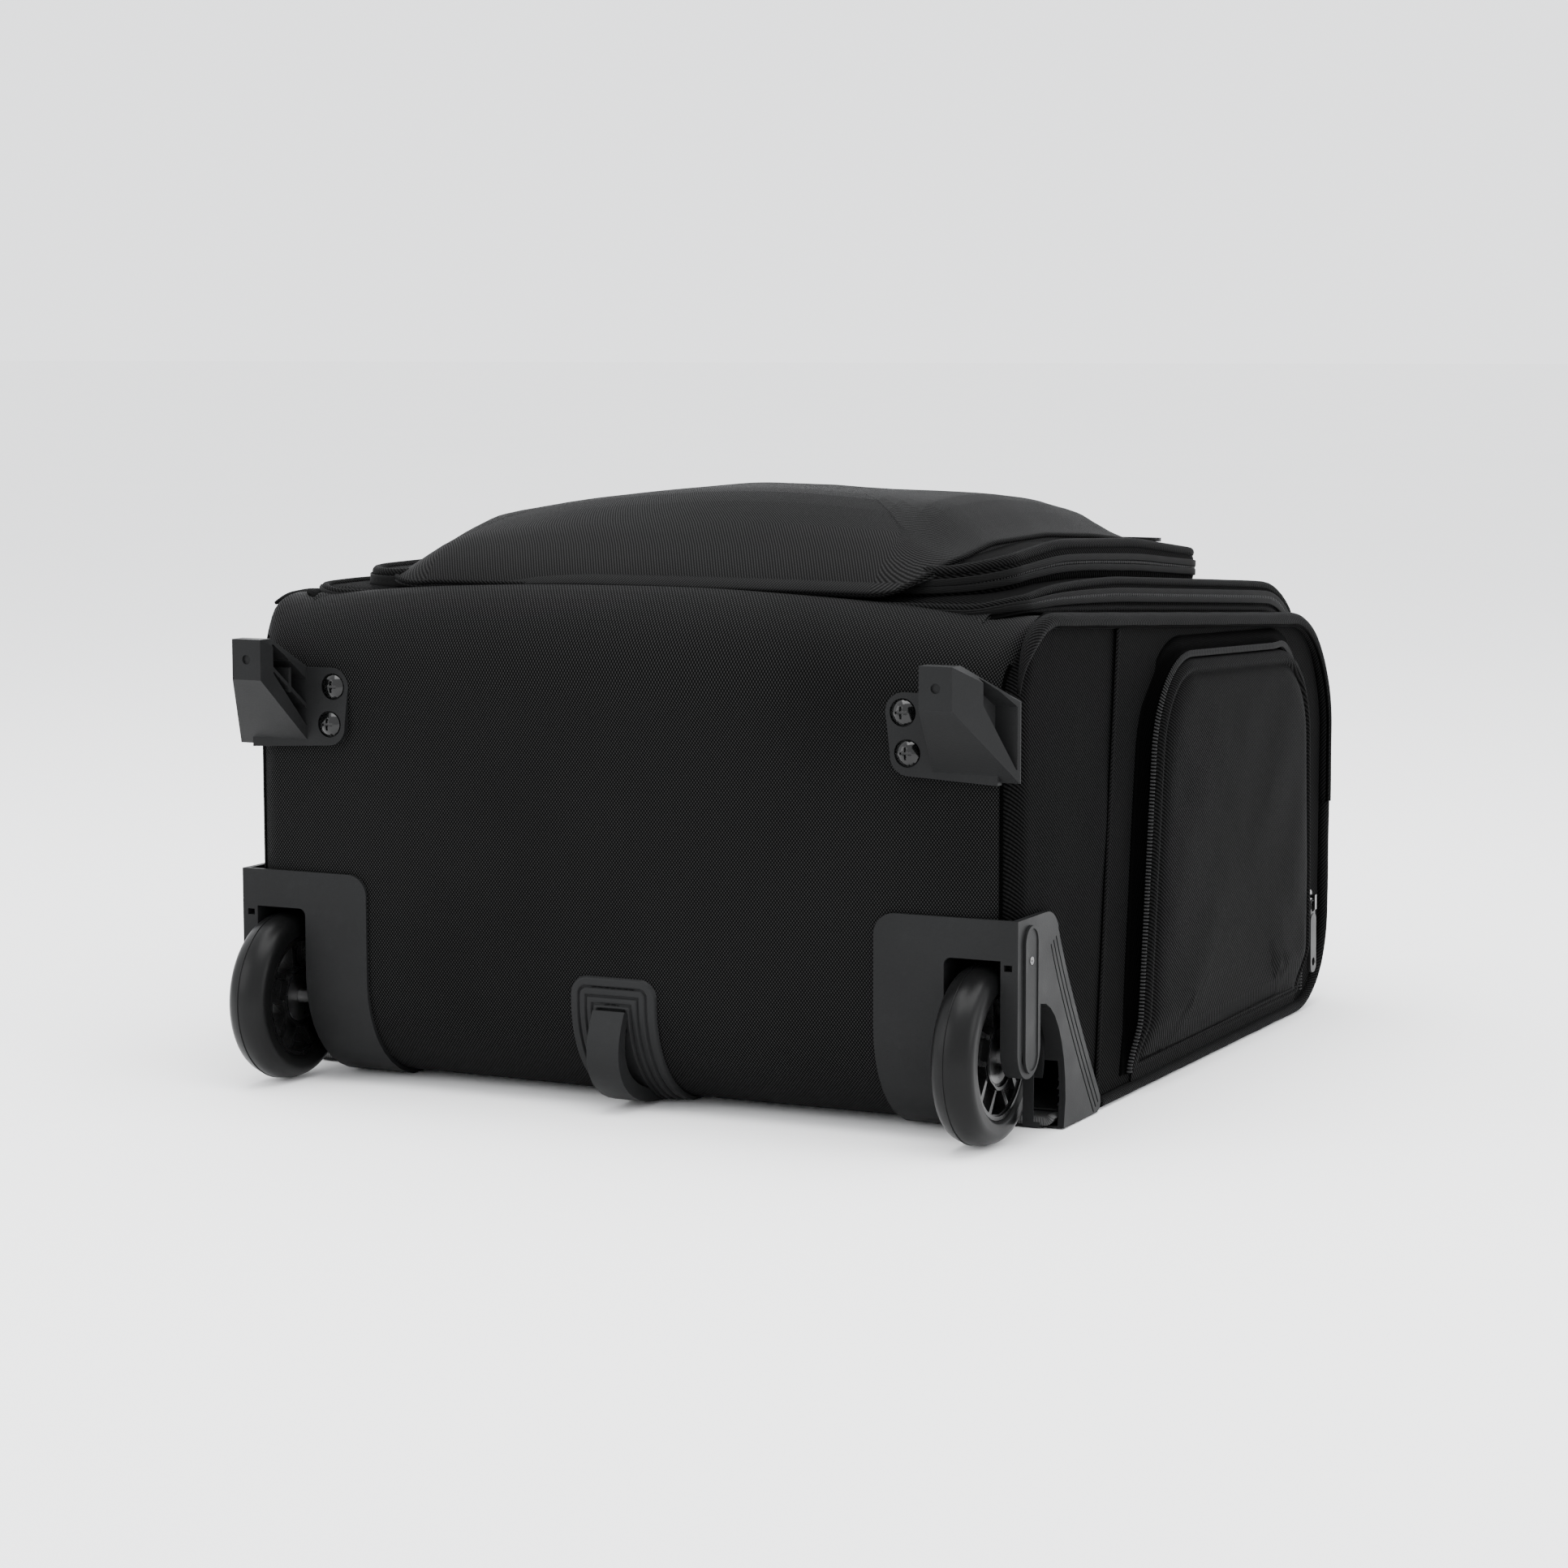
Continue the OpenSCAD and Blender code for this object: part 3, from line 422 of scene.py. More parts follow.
def slab_section(w, t, r):
    """Rounded rectangle w wide and t thick, standing on up = 0."""
    r = min(r, t * 0.49, w * 0.49)
    x = w / 2 - r
    pts = []
    for cx, cy, a0 in ((x, r, -90), (x, t - r, 0), (-x, t - r, 90), (-x, r, 180)):
        a = np.radians(np.linspace(a0, a0 + 90, 4))
        pts += list(np.c_[cx + r * np.cos(a), cy + r * np.sin(a)])
    return np.array(pts)


def many(name, places, half, mat, body, slot, sides=6):
    """Small capsules joined into one piece. places holds (centre, direction, up)."""
    verts, faces, uvs = [], [], []
    ring = np.linspace(0, 2 * math.pi, sides, endpoint=False)
    for c, d, up in places:
        c, d, up = (np.asarray(x, float) for x in (c, d, up))
        d = d / np.linalg.norm(d)
        s = np.cross(d, up)
        s /= np.linalg.norm(s)
        up = np.cross(s, d)
        start = len(verts)
        for t, k in ((-1, 0.45), (-0.75, 1), (0.75, 1), (1, 0.45)):
            for a in ring:
                around = s * math.cos(a) * half[1] + up * math.sin(a) * half[2]
                verts.append(c + d * half[0] * t + k * around)
        for k in range(3):
            for j in range(sides):
                a, b = start + k * sides + j, start + k * sides + (j + 1) % sides
                faces.append((a, b, b + sides, a + sides))
                uvs.append([(j, k), (j + 1, k), (j + 1, k + 1), (j, k + 1)])
        faces.append(tuple(start + j for j in reversed(range(sides))))
        uvs.append([(0, 0)] * sides)
        faces.append(tuple(start + 3 * sides + j for j in range(sides)))
        uvs.append([(0, 0)] * sides)
    return build(name, verts, faces, uvs, mat, body, slot, True)


def along(path, step, ups):
    """(centre, direction, up) at equal steps along a path."""
    path = np.asarray(path, float)
    ups = np.broadcast_to(np.asarray(ups, float), path.shape)
    s = np.r_[0, np.cumsum(np.linalg.norm(np.diff(path, axis=0), axis=1))]
    t = np.arange(step / 2, s[-1], step)

    def read(a, at):
        return np.stack([np.interp(at, s, a[:, k]) for k in range(3)], -1)

    d = read(path, np.minimum(t + 0.5, s[-1])) - read(path, np.maximum(t - 0.5, 0))
    return list(zip(read(path, t), d, read(ups, t)))


def coil(name, path, ups):
    """The teeth of a nylon zip, lying across its path."""
    places = [(c + np.asarray(up) * 0.5, np.cross(d, up), up) for c, d, up in along(path, 1.5, ups)]
    return many(name, places, (1.5, 0.5, 0.45), COIL, "case", "zip_tape")


def stitches(name, path, ups, slot, step):
    return many(name, along(path, step, ups), (1.15, 0.32, 0.28), THREAD, "case", slot, 5)


def pillow(name, rings, mats, body, slot, uv_axes=None):
    """A closed skin over a stack of rings, (k, n, 3), whose first and last rings are filled."""
    rings = np.asarray(rings, float)
    verts, faces, uvs = lattice(rings, wrap_v=True, ends=True)
    obj = build(name, verts, faces, uvs, mats, body, slot, True)
    if uv_axes is not None:
        planar_uv(obj, uv_axes)
    return obj


def planar_uv(obj, axes):
    """Lays the weave flat on a mesh, along two of the row frame's axes."""
    mesh = obj.data
    layer = mesh.uv_layers["UVMap"]
    for poly in mesh.polygons:
        for k in poly.loop_indices:
            co = mesh.vertices[mesh.loops[k].vertex_index].co
            layer.data[k].uv = (co[axes[0]], co[axes[1]])


# ------------------------------------------------------------------ CAD nodes that show
def dress(node, mat, width, segments=2):
    """Gives a CAD node its material and edges eased by width mm."""
    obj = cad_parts[node]
    obj.data.materials.clear()
    obj.data.materials.append(mat)
    obj.data.shade_smooth()
    weld = obj.modifiers.new("weld", "WELD")
    weld.merge_threshold = 0.00002
    bevel = obj.modifiers.new("ease", "BEVEL")
    bevel.width, bevel.segments = width * MM, segments
    bevel.limit_method, bevel.angle_limit = "ANGLE", math.radians(35)
    bevel.harden_normals = False
    normals = obj.modifiers.new("normals", "WEIGHTED_NORMAL")
    normals.keep_sharp = True


for side in ("left", "right"):
    dress(f"{side}_wheel_housing", HOUSING, 0.8, 3)
    dress(f"{side}_axle", STEEL, 0.3)
    dress(f"{side}_tyre", TYRE, 0.4)
    dress(f"{side}_hub", HUB, 0.35)
    dress(f"{side}_bearings", STEEL, 0.2)
    dress(f"{side}_foot", FOOT, 0.7, 3)
    dress(f"lid_slider_{side}", SLIDER, 0.4)
    dress(f"lid_pull_{side}", PULL, 0.4)
for node in ("left", "top"):
    dress(f"{node}_handle_anchors", STRAP, 0.6)
for node in ("side", "top", "pocket"):
    dress(f"{node}_slider", SLIDER, 0.5)
    dress(f"{node}_pull", PULL, 0.45)
for side, sign in (("left", -1), ("right", 1)):
    a = np.linspace(0, 2 * math.pi, 97)[:-1]
    out = np.stack([a * 0, np.cos(a), np.sin(a)], -1)
    ring = TYRE_R * out + (sign * WHEEL_X - 2.2, AXLE_Y, AXLE_Z)
    sweep(f"{side}_mould_line", ring, out, round_section(0.28, 6), TYRE, f"{side}_wheel", "tyre",
          closed=True)
dress("housing_trims", HOUSING, 0.3)
dress("trim_screws", STEEL, 0.1, 1)
dress("foot_screws", BLACK_STEEL, 0.15, 1)
dress("handle_bezel", HOUSING, 0.7)
dress("tube_bracket", HOUSING, 0.6)
for node in ("outer_tubes", "middle_tubes", "inner_tubes"):
    dress(node, ALUMINIUM, 0.15, 1)
dress("grip", GRIP, 1.6, 3)
dress("grip_button", BUTTON, 0.6)


# ------------------------------------------------------------------ fabric shell
def edge_radius(s):
    """Radius between the wrap and the sides: wide at the base face, tight at the front and back."""
    _, n = BODY.at(s)
    return 5 + 10 * smooth(0.35, 0.95, -n[..., 0]) + 5 * smooth(0.35, 0.95, n[..., 0])


def seam_turn(s):
    """How far the wrap turns towards the side before its seam, in degrees."""
    _, n = BODY.at(s)
    return 72 - 37 * smooth(0.3, 0.95, -n[..., 0])


def crown(x, p):
    """How far the wrap stands out from the plain outline."""
    wide = np.clip(1 - (x / 168.0) ** 2, 0, 1)
    y, z = p[..., 0], p[..., 1]
    lip = smooth(140, 196, z) * (1 - smooth(20, 40, y))
    face = smooth(30, 90, z) * (1 - smooth(120, 200, z)) * (1 - smooth(20, 40, y))
    return wide * (12.5 * lip + 1.5 * face) + 1.5 * wide * smooth(370, 386, y) * smooth(60, 120, z)


def wrap(name, s0, s1, mat, node, slot, flats, extra_s=(), keep=None):
    """A piece of the fabric that runs round the case, with both of its rounded side edges."""
    s = np.unique(np.r_[np.linspace(s0, s1, int((s1 - s0) / 4) + 1), extra_s])
    r, turn = edge_radius(s), np.radians(seam_turn(s))
    arcs, xs, inset = 7, [], []
    for k in range(arcs, 0, -1):
        a = turn * k / arcs
        xs.append(-(HALF_W - r + r * np.sin(a)))
        inset.append(r * (1 - np.cos(a)))
    for f in flats:
        xs.append(np.clip(f, -(HALF_W - r), HALF_W - r))
        inset.append(np.zeros_like(s))
    for k in range(1, arcs + 1):
        a = turn * k / arcs
        xs.append(HALF_W - r + r * np.sin(a))
        inset.append(r * (1 - np.cos(a)))
    xs, inset = np.array(xs).T, np.array(inset).T
    ss = np.repeat(s[:, None], xs.shape[1], 1)
    flat_p, _ = BODY.at(ss)
    p, _ = BODY.at(ss, crown(xs, flat_p) - inset)
    pts = np.stack([xs, p[..., 0], p[..., 1]], -1)
    out = np.stack([xs * 0, *np.moveaxis(BODY.at(ss)[1], -1, 0)], -1)
    pts += out * (0.35 * ripple(pts, 60, 1.0) * (1 - smooth(150, 170, np.abs(xs))))[..., None]
    uv = np.stack([np.sign(xs) * (np.abs(xs) + 0.4 * inset), ss], -1)
    obj = build(name, *lattice(pts, uv=uv, keep=keep), [mat, LINING], "case", slot)
    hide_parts(node)
    solidify(obj, COVER_T, inner=1)


def clear_of_wells(p):
    return not (abs(p[0]) > WELL_X - 1 and p[1] < WELL_Y and p[2] < WELL_Z)


ACROSS = np.linspace(-172, 172, 70)
s_end = BODY.s[-1]
s_back0, s_back1 = BODY.near(62, BACK_Z), BODY.near(327, BACK_Z)
s_front1, s_front0 = BODY.near(327, DEPTH - SLOPE * 327), BODY.near(62, DEPTH - SLOPE * 62)
# the line reads on past its start, so that the base face is one stretch
BODY = Line(np.vstack([BODY.p, BODY.p[1:]]), np.vstack([BODY.n, BODY.n[1:]]))
wrap("base_cover", s_front0, s_end + s_back0, BASE_CLOTH, "base_panel", "ballistic_fabric",
     np.r_[-162, np.linspace(-158, 158, 70), 162], keep=clear_of_wells)
wrap("back_cover", s_back0 + 0.4, s_back1 - 0.4, SIDE_CLOTH, "back_panel", "twill_fabric", ACROSS)
hole_low, hole_high = BODY.near(378.0, 15.6), BODY.near(388.0, 50.4)


def clear_of_bezel(p):
    return not (abs(p[0]) < BEZEL_X and p[1] > 360 and 15.6 < p[2] < 50.4)


beside_bezel = np.linspace(BEZEL_X, 170, 18)
wrap("top_cover", s_back1 + 0.4, s_front1 - 0.4, SIDE_CLOTH, "top_panel", "twill_fabric",
     np.r_[-beside_bezel[::-1], np.linspace(-80, 80, 33), beside_bezel],
     (hole_low, hole_high), clear_of_bezel)


def outside_lid_hole(p):
    return abs(p[0]) > LID_HOLE_X


beside_lid = np.linspace(LID_HOLE_X, 172, 6)
wrap("front_frame", s_front1 + 0.4, s_front0 - 0.4, SIDE_CLOTH, "front_rim", "twill_fabric",
     np.r_[-beside_lid[::-1], beside_lid], keep=outside_lid_hole)


def side_out(y, z):
    """How far a side stands out, in mm: nearly flat by the zip, a little full elsewhere."""
    y, z = np.asarray(y, float), np.asarray(z, float)
    rim = smooth(2, 30, z) * (1 - smooth(165, 200, z)) * smooth(4, 40, y) * (1 - smooth(345, 384, y))
    return rim * 0.6 * (1 + ripple(np.stack([y * 0, y, z], -1), 38, 2.0))


def side_panel(name, sign, node, hole):
    """A side of the case: from the wrap's seam, over the rounded edge, in to the opening or the middle."""
    ang = np.linspace(0, 2 * math.pi, 361)[:-1]
    centre = np.array([236.0, 92.0])
    s = np.linspace(0, s_end, 1400)[:-1]
    r = edge_radius(s)
    turn = np.radians(seam_turn(s))

    def ring(inset, x):
        p, _ = BODY.at(s, -inset)
        a = np.unwrap(np.arctan2(p[:, 1] - centre[1], p[:, 0] - centre[0]))
        if a[-1] < a[0]:
            a, p, x = a[::-1], p[::-1], x[::-1]
        at = a[0] + (ang - a[0]) % (2 * math.pi)
        a, p, x = np.r_[a, a[0] + 2 * math.pi], np.vstack([p, p[:1]]), np.r_[x, x[:1]]
        return np.stack([np.interp(at, a, x), np.interp(at, a, p[:, 0]), np.interp(at, a, p[:, 1])], -1)

    rings = []
    for k in range(5):
        a = turn + (math.pi / 2 - turn) * k / 4
        rings.append(ring(r * (1 - np.cos(a)), HALF_W - r + r * np.sin(a)))
    outer = rings[-1]
    if hole:
        edge = flap_line(0.6)
        edge = resample(np.vstack([edge, edge[:1]]), 1500)
        a = np.unwrap(np.arctan2(edge[:, 1] - centre[1], edge[:, 0] - centre[0]))
        if a[-1] < a[0]:
            a, edge = a[::-1], edge[::-1]
        at = a[0] + (ang - a[0]) % (2 * math.pi)
        inner_y, inner_z = (np.interp(at, a, edge[:, k]) for k in (0, 1))
    else:
        inner_y, inner_z = centre[0] + 4 * np.cos(ang), centre[1] + 4 * np.sin(ang)
    inner = np.stack([np.full(len(ang), HALF_W), inner_y, inner_z], -1)
    for t in np.linspace(0, 1, 22 if hole else 26)[1:]:
        g = outer * (1 - t) + inner * t
        fades = smooth(0, 0.15, t) * (1 - smooth(0.8, 1.0, t) * hole)
        g[:, 0] = HALF_W + side_out(g[:, 1], g[:, 2]) * fades
        rings.append(g)
    pts = np.array(rings)
    pts[..., 0] *= sign
    uv = pts[..., 1:]

    def keep(p):
        return not (p[1] < 58 - 0.28 * max(0, p[2] - 12) and p[2] < WELL_Z and abs(p[0]) > WELL_X)

    verts, faces, uvs = lattice(pts, wrap_v=True, uv=np.concatenate([uv, uv[:, :1]], 1), keep=keep,
                                flip=sign > 0)
    if not hole:
        last = len(pts) - 1
        ids = [last * 360 + j for j in range(360)]
        faces.append(ids[::-1] if sign > 0 else ids)
        uvs.append([uv[last, j] for j in (range(359, -1, -1) if sign > 0 else range(360))])
    obj = build(name, verts, faces, uvs, [SIDE_CLOTH, LINING], "case", "twill_fabric")
    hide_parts(node)
    solidify(obj, COVER_T, inner=1)


side_panel("right_side_cover", 1, "right_side", True)
side_panel("left_side_cover", -1, "left_side", False)


# stitched seam where the base cloth meets each side
for sign, side in ((1, "right"), (-1, "left")):
    s = np.linspace(BODY.near(0, 196), s_end - 34, 60)
    r, turn = edge_radius(s), np.radians(seam_turn(s))
    p, n = BODY.at(s, -r * (1 - np.cos(turn)) - 0.1)
    path = np.stack([sign * (HALF_W - r + r * np.sin(turn)), p[:, 0], p[:, 1]], -1)
    outward = np.stack([sign * np.sin(turn), *(n * np.cos(turn)[:, None]).T], -1)
    sweep(f"{side}_base_seam", path, outward, slab_section(1.3, 0.5, 0.2), TAPE_AND_SHADE_CLOTH, "case",
          "piping_fabric")


# welts: rolled twill along the front edge, thinner cord round the top end and the back
def welt(name, sign, s0, s1, r0, r1, inset, out, node=None, fade=0.0):
    """A cord along the side's edge whose radius goes from r0 to r1 and fades out over its last mm."""
    s = np.linspace(s0, s1, int(abs(s1 - s0) / 3) + 2)
    p, _ = BODY.at(s, -inset)
    x = np.full(len(s), sign * (HALF_W + out))
    path = np.stack([x, p[:, 0], p[:, 1]], -1)
    size = np.interp(np.linspace(0, 1, len(s)), [0, 1], [r0, r1])
    if fade:
        size = size * (0.25 + 0.75 * smooth(0, fade, np.abs(s1 - s)))
    size = size * (1 + 0.02 * np.sin(s / 7.0))
    ups = np.repeat([[sign, 0, 0]], len(s), 0)
    obj = sweep(name, path, ups, round_section(1.0, 14), WELT_CLOTH, "case", "piping_fabric", scale=size)
    if node:
        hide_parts(node)


s_welt_base = BODY.near(2.0, 180.0)
s_welt_top = BODY.near(LENGTH, 96.0)
s_fin = BODY.near(91.0, BACK_Z)
for sign, side in ((1, "right"), (-1, "left")):
    end = s_welt_base if sign > 0 else BODY.near(22.0, 208.0)
    welt(f"{side}_front_welt", sign, s_welt_top, end, 3.3, 3.3, 2.0, 0.6, f"{side}_piping", 30)
    # a nearly black strip, wider than the welt, laid under each front welt: painted shadow along both
    # sides of the welt
    s = np.linspace(s_welt_top, end - 16, 200)
    p, n = BODY.at(s, -2.2)
    path = np.stack([np.full(200, sign * (HALF_W - 0.2)), p[:, 0], p[:, 1]], -1)
    ups = np.stack([np.full(200, sign * 0.7), 0.7 * n[:, 0], 0.7 * n[:, 1]], -1)
    sweep(f"{side}_welt_shadow_strip", path, ups, slab_section(8.4, 1.2, 0.4), TAPE_AND_SHADE_CLOTH, "case", "piping_fabric",
          scale=0.3 + 0.7 * smooth(0, 40, np.abs(s - s[-1])))
    welt(f"{side}_back_cord", sign, s_fin, s_welt_top + 2, 2.2, 2.8, 1.4, 0.2)


# ------------------------------------------------------------------ linings inside
def cloth_sheet(name, corner, du, dv, n, m, wobble, seed, node):
    """A stretched lining, du by dv from its corner, n by m points, uneven by wobble mm."""
    u, v = np.meshgrid(np.linspace(0, 1, n), np.linspace(0, 1, m), indexing="ij")
    du, dv = np.array(du, float), np.array(dv, float)
    pts = np.array(corner, float) + u[..., None] * du + v[..., None] * dv
    nrm = np.cross(du, dv)
    nrm /= np.linalg.norm(nrm)
    pts = pts + nrm * (wobble * ripple(pts, 45, seed))[..., None]
    obj = build(name, *lattice(pts), LINING, "case", "lining_fabric")
    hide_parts(node)
    solidify(obj, LINING_T, 0.0)


cloth_sheet("back_lining_cloth", (-168, 54, 46), (336, 0, 0), (0, 288, 0), 60, 50, 0.9, 1.0,
            "back_lining")
cloth_sheet("side_pocket_cloth", (157.5, 110, 48), (0, 248, 0), (0, 0, 104), 50, 26, 1.0, 2.0,
            "side_pocket_lining")

# ------------------------------------------------------------------ lid and front pockets
def plan(hw, q0, q1, r, inset, n=14, side=26):
    """Rounded rectangle on the front face, shrunk by inset, always with the same number of points."""
    r = max(r - inset, 0.6)
    x, a, b = hw - inset, q0 + inset, q1 - inset
    if b - a < 2 * r + 0.2:
        a, b = (a + b) / 2 - r - 0.1, (a + b) / 2 + r + 0.1
    pts = []
    for cx, cq, a0 in ((x - r, b - r, 0), (-x + r, b - r, 90), (-x + r, a + r, 180),
                       (x - r, a + r, 270)):
        t = np.radians(np.linspace(a0, a0 + 90, n))
        pts.append(np.c_[cx + r * np.cos(t), cq + r * np.sin(t)])
    out = []
    for k in range(4):
        out.append(pts[k])
        nxt = pts[(k + 1) % 4][0]
        out.append(np.linspace(pts[k][-1], nxt, side + 2)[1:-1])
    return np.vstack(out)


def over_front(shape, out):
    return front_at(shape[:, 0], shape[:, 1], np.broadcast_to(out, len(shape)))


LID_Q = (0.0, 362.0)
PB_Q, PA_Q = (13.0, 273.0), (2.0, 251.0)


def sag(x, q, amount):
    """The layers lie flatter on the left and near the base end."""
    return 1 - amount * smooth(20, 160, -np.asarray(x)) * (1 - 0.6 * smooth(90, 260, q))


def curve(q, places, values, soft=12.0):
    """Joined straight pieces with their corners eased over soft mm."""
    q = np.asarray(q, float)
    return sum(np.interp(q + d, places, values) for d in np.linspace(-soft, soft, 9)) / 9


def lid_top(q, x):
    rise = curve(q, [0, 5, 47, 82, 117, 300, 362], [3, 4.5, 11, 13.5, 15, 14.5, 12.5])
    return rise * sag(x, q, 0.5)


def pocket_b_top(q, x):
    return curve(q, [2, 30, 86, 176, 223, 273], [12, 21, 29, 31, 29, 27]) * sag(x, q, 0.52)


def pocket_a_edge(q, x):
    full = curve(q, [0, 8, 19, 60, 118, 172, 221, 251], [5, 12, 20, 28.5, 33, 33.5, 32, 30.5], 6.0)
    left_end = smooth(96, 140, -np.asarray(x)) * (1 - 0.5 * smooth(90, 220, q))
    return full * (1 - 0.68 * left_end)


# half width, extent along the front face, corner radius, the face below and the own face
LAYERS = {"lid": (LID_HW, LID_Q, 22, lambda q, x: np.full(len(q), 0.6), lid_top),
          "pocket_b": (POCKET_B_HW, PB_Q, 30, lambda q, x: lid_top(q, x) - 0.4, pocket_b_top),
          "pocket_a": (POCKET_A_HW, PA_Q, 28, lambda q, x: pocket_b_top(q, x) - 3.0, pocket_a_edge)}


def layer_rings(layer, profile, seed, lift=None):
    """Rings of a padded layer from its profile of (inset, share, extra) rows: at share 0 a ring
    lies on the layer below, and at share 1 on this layer's own edge."""
    hw, q, r, low, high = LAYERS[layer]
    rings = []
    for inset, share, extra in profile:
        shape = plan(hw, q[0], q[1], r, inset)
        x, along_q = shape[:, 0], shape[:, 1]
        a, b = low(along_q, x), high(along_q, x)
        height = a + share * (b - a) + extra
        if lift is not None:
            height = height + lift(x, along_q, inset)
        if inset > 0:
            height = height + 0.35 * min(1, inset / 12) * ripple(over_front(shape, height), 42, seed)
        rings.append(over_front(shape, height))
    return rings


LID_PROFILE = [
    (60, 0, 0), (6, 0, 0), (1.2, 0.02, 0), (0.2, 0.1, 0), (0.5, 0.22, 0), (0.1, 0.32, 0),
    (0.0, 0.5, 0), (0.3, 0.68, 0), (1.2, 0.84, 0), (2.6, 0.95, 0), (4.6, 1, 0), (8, 1, 0.3),
    (14, 1, 0.4), (24, 1, 0.2), (60, 1, 0), (120, 1, 0), (164, 1, 0)]
lid = pillow("lid_cover", layer_rings("lid", LID_PROFILE, 3.0), SIDE_CLOTH, "lid", "twill_fabric")
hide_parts("lid_panel")


def layer_path(layer, inset, share):
    """A line round a layer's side wall, and the way out from the front face along it."""
    hw, q, r, low, high = LAYERS[layer]
    shape = plan(hw, q[0], q[1], r, inset, 16, 60)
    x, along_q = shape[:, 0], shape[:, 1]
    a, b = low(along_q, x), high(along_q, x)
    out = a + share * (b - a)
    p = over_front(shape, out)
    return p, over_front(shape, out + 1.0) - p


def layer_sweep(name, layer, inset, share, section, mat, slot, sideways=False):
    p, ups = layer_path(layer, inset, share)
    if sideways:
        ups = np.cross(np.roll(p, -1, 0) - np.roll(p, 1, 0), ups)
    sweep(name, p, ups, section, mat, "lid", slot, closed=True)


# the lid's zip: two satin tapes with a slit between them, on the lid's side wall
for share, inset, name in ((0.42, 0.1, "lid_zip_low"), (0.66, 0.4, "lid_zip_high")):
    layer_sweep(name, "lid", inset, share, slab_section(2.7, 0.9, 0.4), SATIN_TAPE, "zip_tape", True)
layer_sweep("lid_welt", "lid", 2.0, 0.95, round_section(1.8), WELT_CLOTH, "piping_fabric")
layer_sweep("lid_base_roll", "lid", 1.4, 0.14, round_section(1.9), WELT_CLOTH, "piping_fabric")

POCKET_B_PROFILE = [
    (40, 0, 0), (3, 0, 0), (0.2, 0.02, 0), (-0.6, 0.12, 0), (-1.2, 0.34, 0), (-1.2, 0.6, 0),
    (-0.4, 0.84, 0), (0.8, 0.95, 0), (2.4, 1, 0), (5, 1, 0.3), (12, 1, 0.5), (30, 1, 0.3),
    (80, 1, 0), (129, 1, 0)]
pocket_b = pillow("pocket_b_cover", layer_rings("pocket_b", POCKET_B_PROFILE, 5.0), SIDE_CLOTH, "lid",
                  "twill_fabric")
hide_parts("pocket_b")
layer_sweep("pocket_b_welt", "pocket_b", 1.4, 0.98, round_section(2.3), WELT_CLOTH, "piping_fabric")
for share, inset, name in ((0.34, -0.9, "pocket_b_zip_low"), (0.62, -0.9, "pocket_b_zip_high")):
    layer_sweep(name, "pocket_b", inset, share, slab_section(3.0, 0.9, 0.4), SATIN_TAPE, "zip_tape", True)
for layer, inset, share in (("pocket_b", -1.1, 0.48), ("lid", -0.3, 0.54)):
    p, ups = layer_path(layer, inset, share)
    outward = np.cross(np.roll(p, -1, 0) - np.roll(p, 1, 0), ups)
    outward /= np.linalg.norm(outward, axis=1, keepdims=True)
    spots = along(np.vstack([p, p[:1]]), 1.7, np.vstack([outward, outward[:1]]))
    many(f"{layer}_teeth", [(c, np.cross(d, o), o) for c, d, o in spots], (0.8, 0.45, 0.4), COIL, "lid",
         "zip_tape")


def a_dome(x, q, inset):
    """The stuffed pocket: fullest near the base end, falling away towards the top."""
    sides = np.clip(1 - ((x - 30) / 165) ** 2, 0, 1) * smooth(0, 26, POCKET_A_HW - np.abs(x))
    ends = smooth(-6, 52, q - PA_Q[0]) * smooth(0, 50, PA_Q[1] - q)
    lengthwise = curve(q, [0, 60, 90, 150, 210, 251], [0.92, 1.0, 1.0, 0.88, 0.72, 0.6], 20.0)
    wrinkled = smooth(60, 110, q) * (1 - smooth(150, 220, q))
    wrinkles = 0.9 * np.sin(x / 17 + 1.5 * np.sin(q / 60)) * wrinkled
    return (21.0 * lengthwise + wrinkles) * sides * ends * smooth(0, 3, inset)


POCKET_A_PROFILE = [
    (40, 0, 0), (3, 0, 0), (0.4, 0.1, 0), (-0.2, 0.4, 0), (0.6, 0.85, 0), (2.0, 1, 0.3),
    (5, 1, 0.8), (9, 1, 1.2), (14, 1, 1.3), (20, 1, 1.0), (26, 1, 0.7), (32, 1, 0.4),
    (40, 1, 0.1), (50, 1, 0), (60, 1, 0), (72, 1, 0), (86, 1, 0), (100, 1, 0), (124, 1, 0)]
pocket_a = pillow("pocket_a_cover", layer_rings("pocket_a", POCKET_A_PROFILE, 6.0, a_dome), POCKET_CLOTH,
                  "lid", "twill_fabric")
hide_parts("pocket_a")
layer_sweep("pocket_a_cord", "pocket_a", 1.0, 0.98, round_section(1.2), WELT_CLOTH, "piping_fabric")

# ------------------------------------------------------------------ side pocket flap
def flap_ring(inset, out):
    pts = resample(flap_line(-min(inset, 38.0)), 170)
    if inset > 38:
        c = np.array([240.0, 80.0])
        pts = c + (pts - c) * max(0.02, 1 - (inset - 38) / 62.0)
    pts[:, 1] = np.maximum(pts[:, 1], 9 + 0.35 * min(inset, 14))
    return np.stack([HALF_W + np.broadcast_to(out, len(pts)), pts[:, 0], pts[:, 1]], -1)


def flap_height(base, seam, ring):
    """Lowers the seam along the top and the top-end edge, where it is deep."""
    high = smooth(120, 165, ring[:, 2])
    return base - seam * (high + (1 - high) * smooth(250, 330, ring[:, 1]))


def flap_low(z):
    """The flap lies flat where it folds and stands out above."""
    return 0.25 + 0.75 * smooth(9, 34, z)


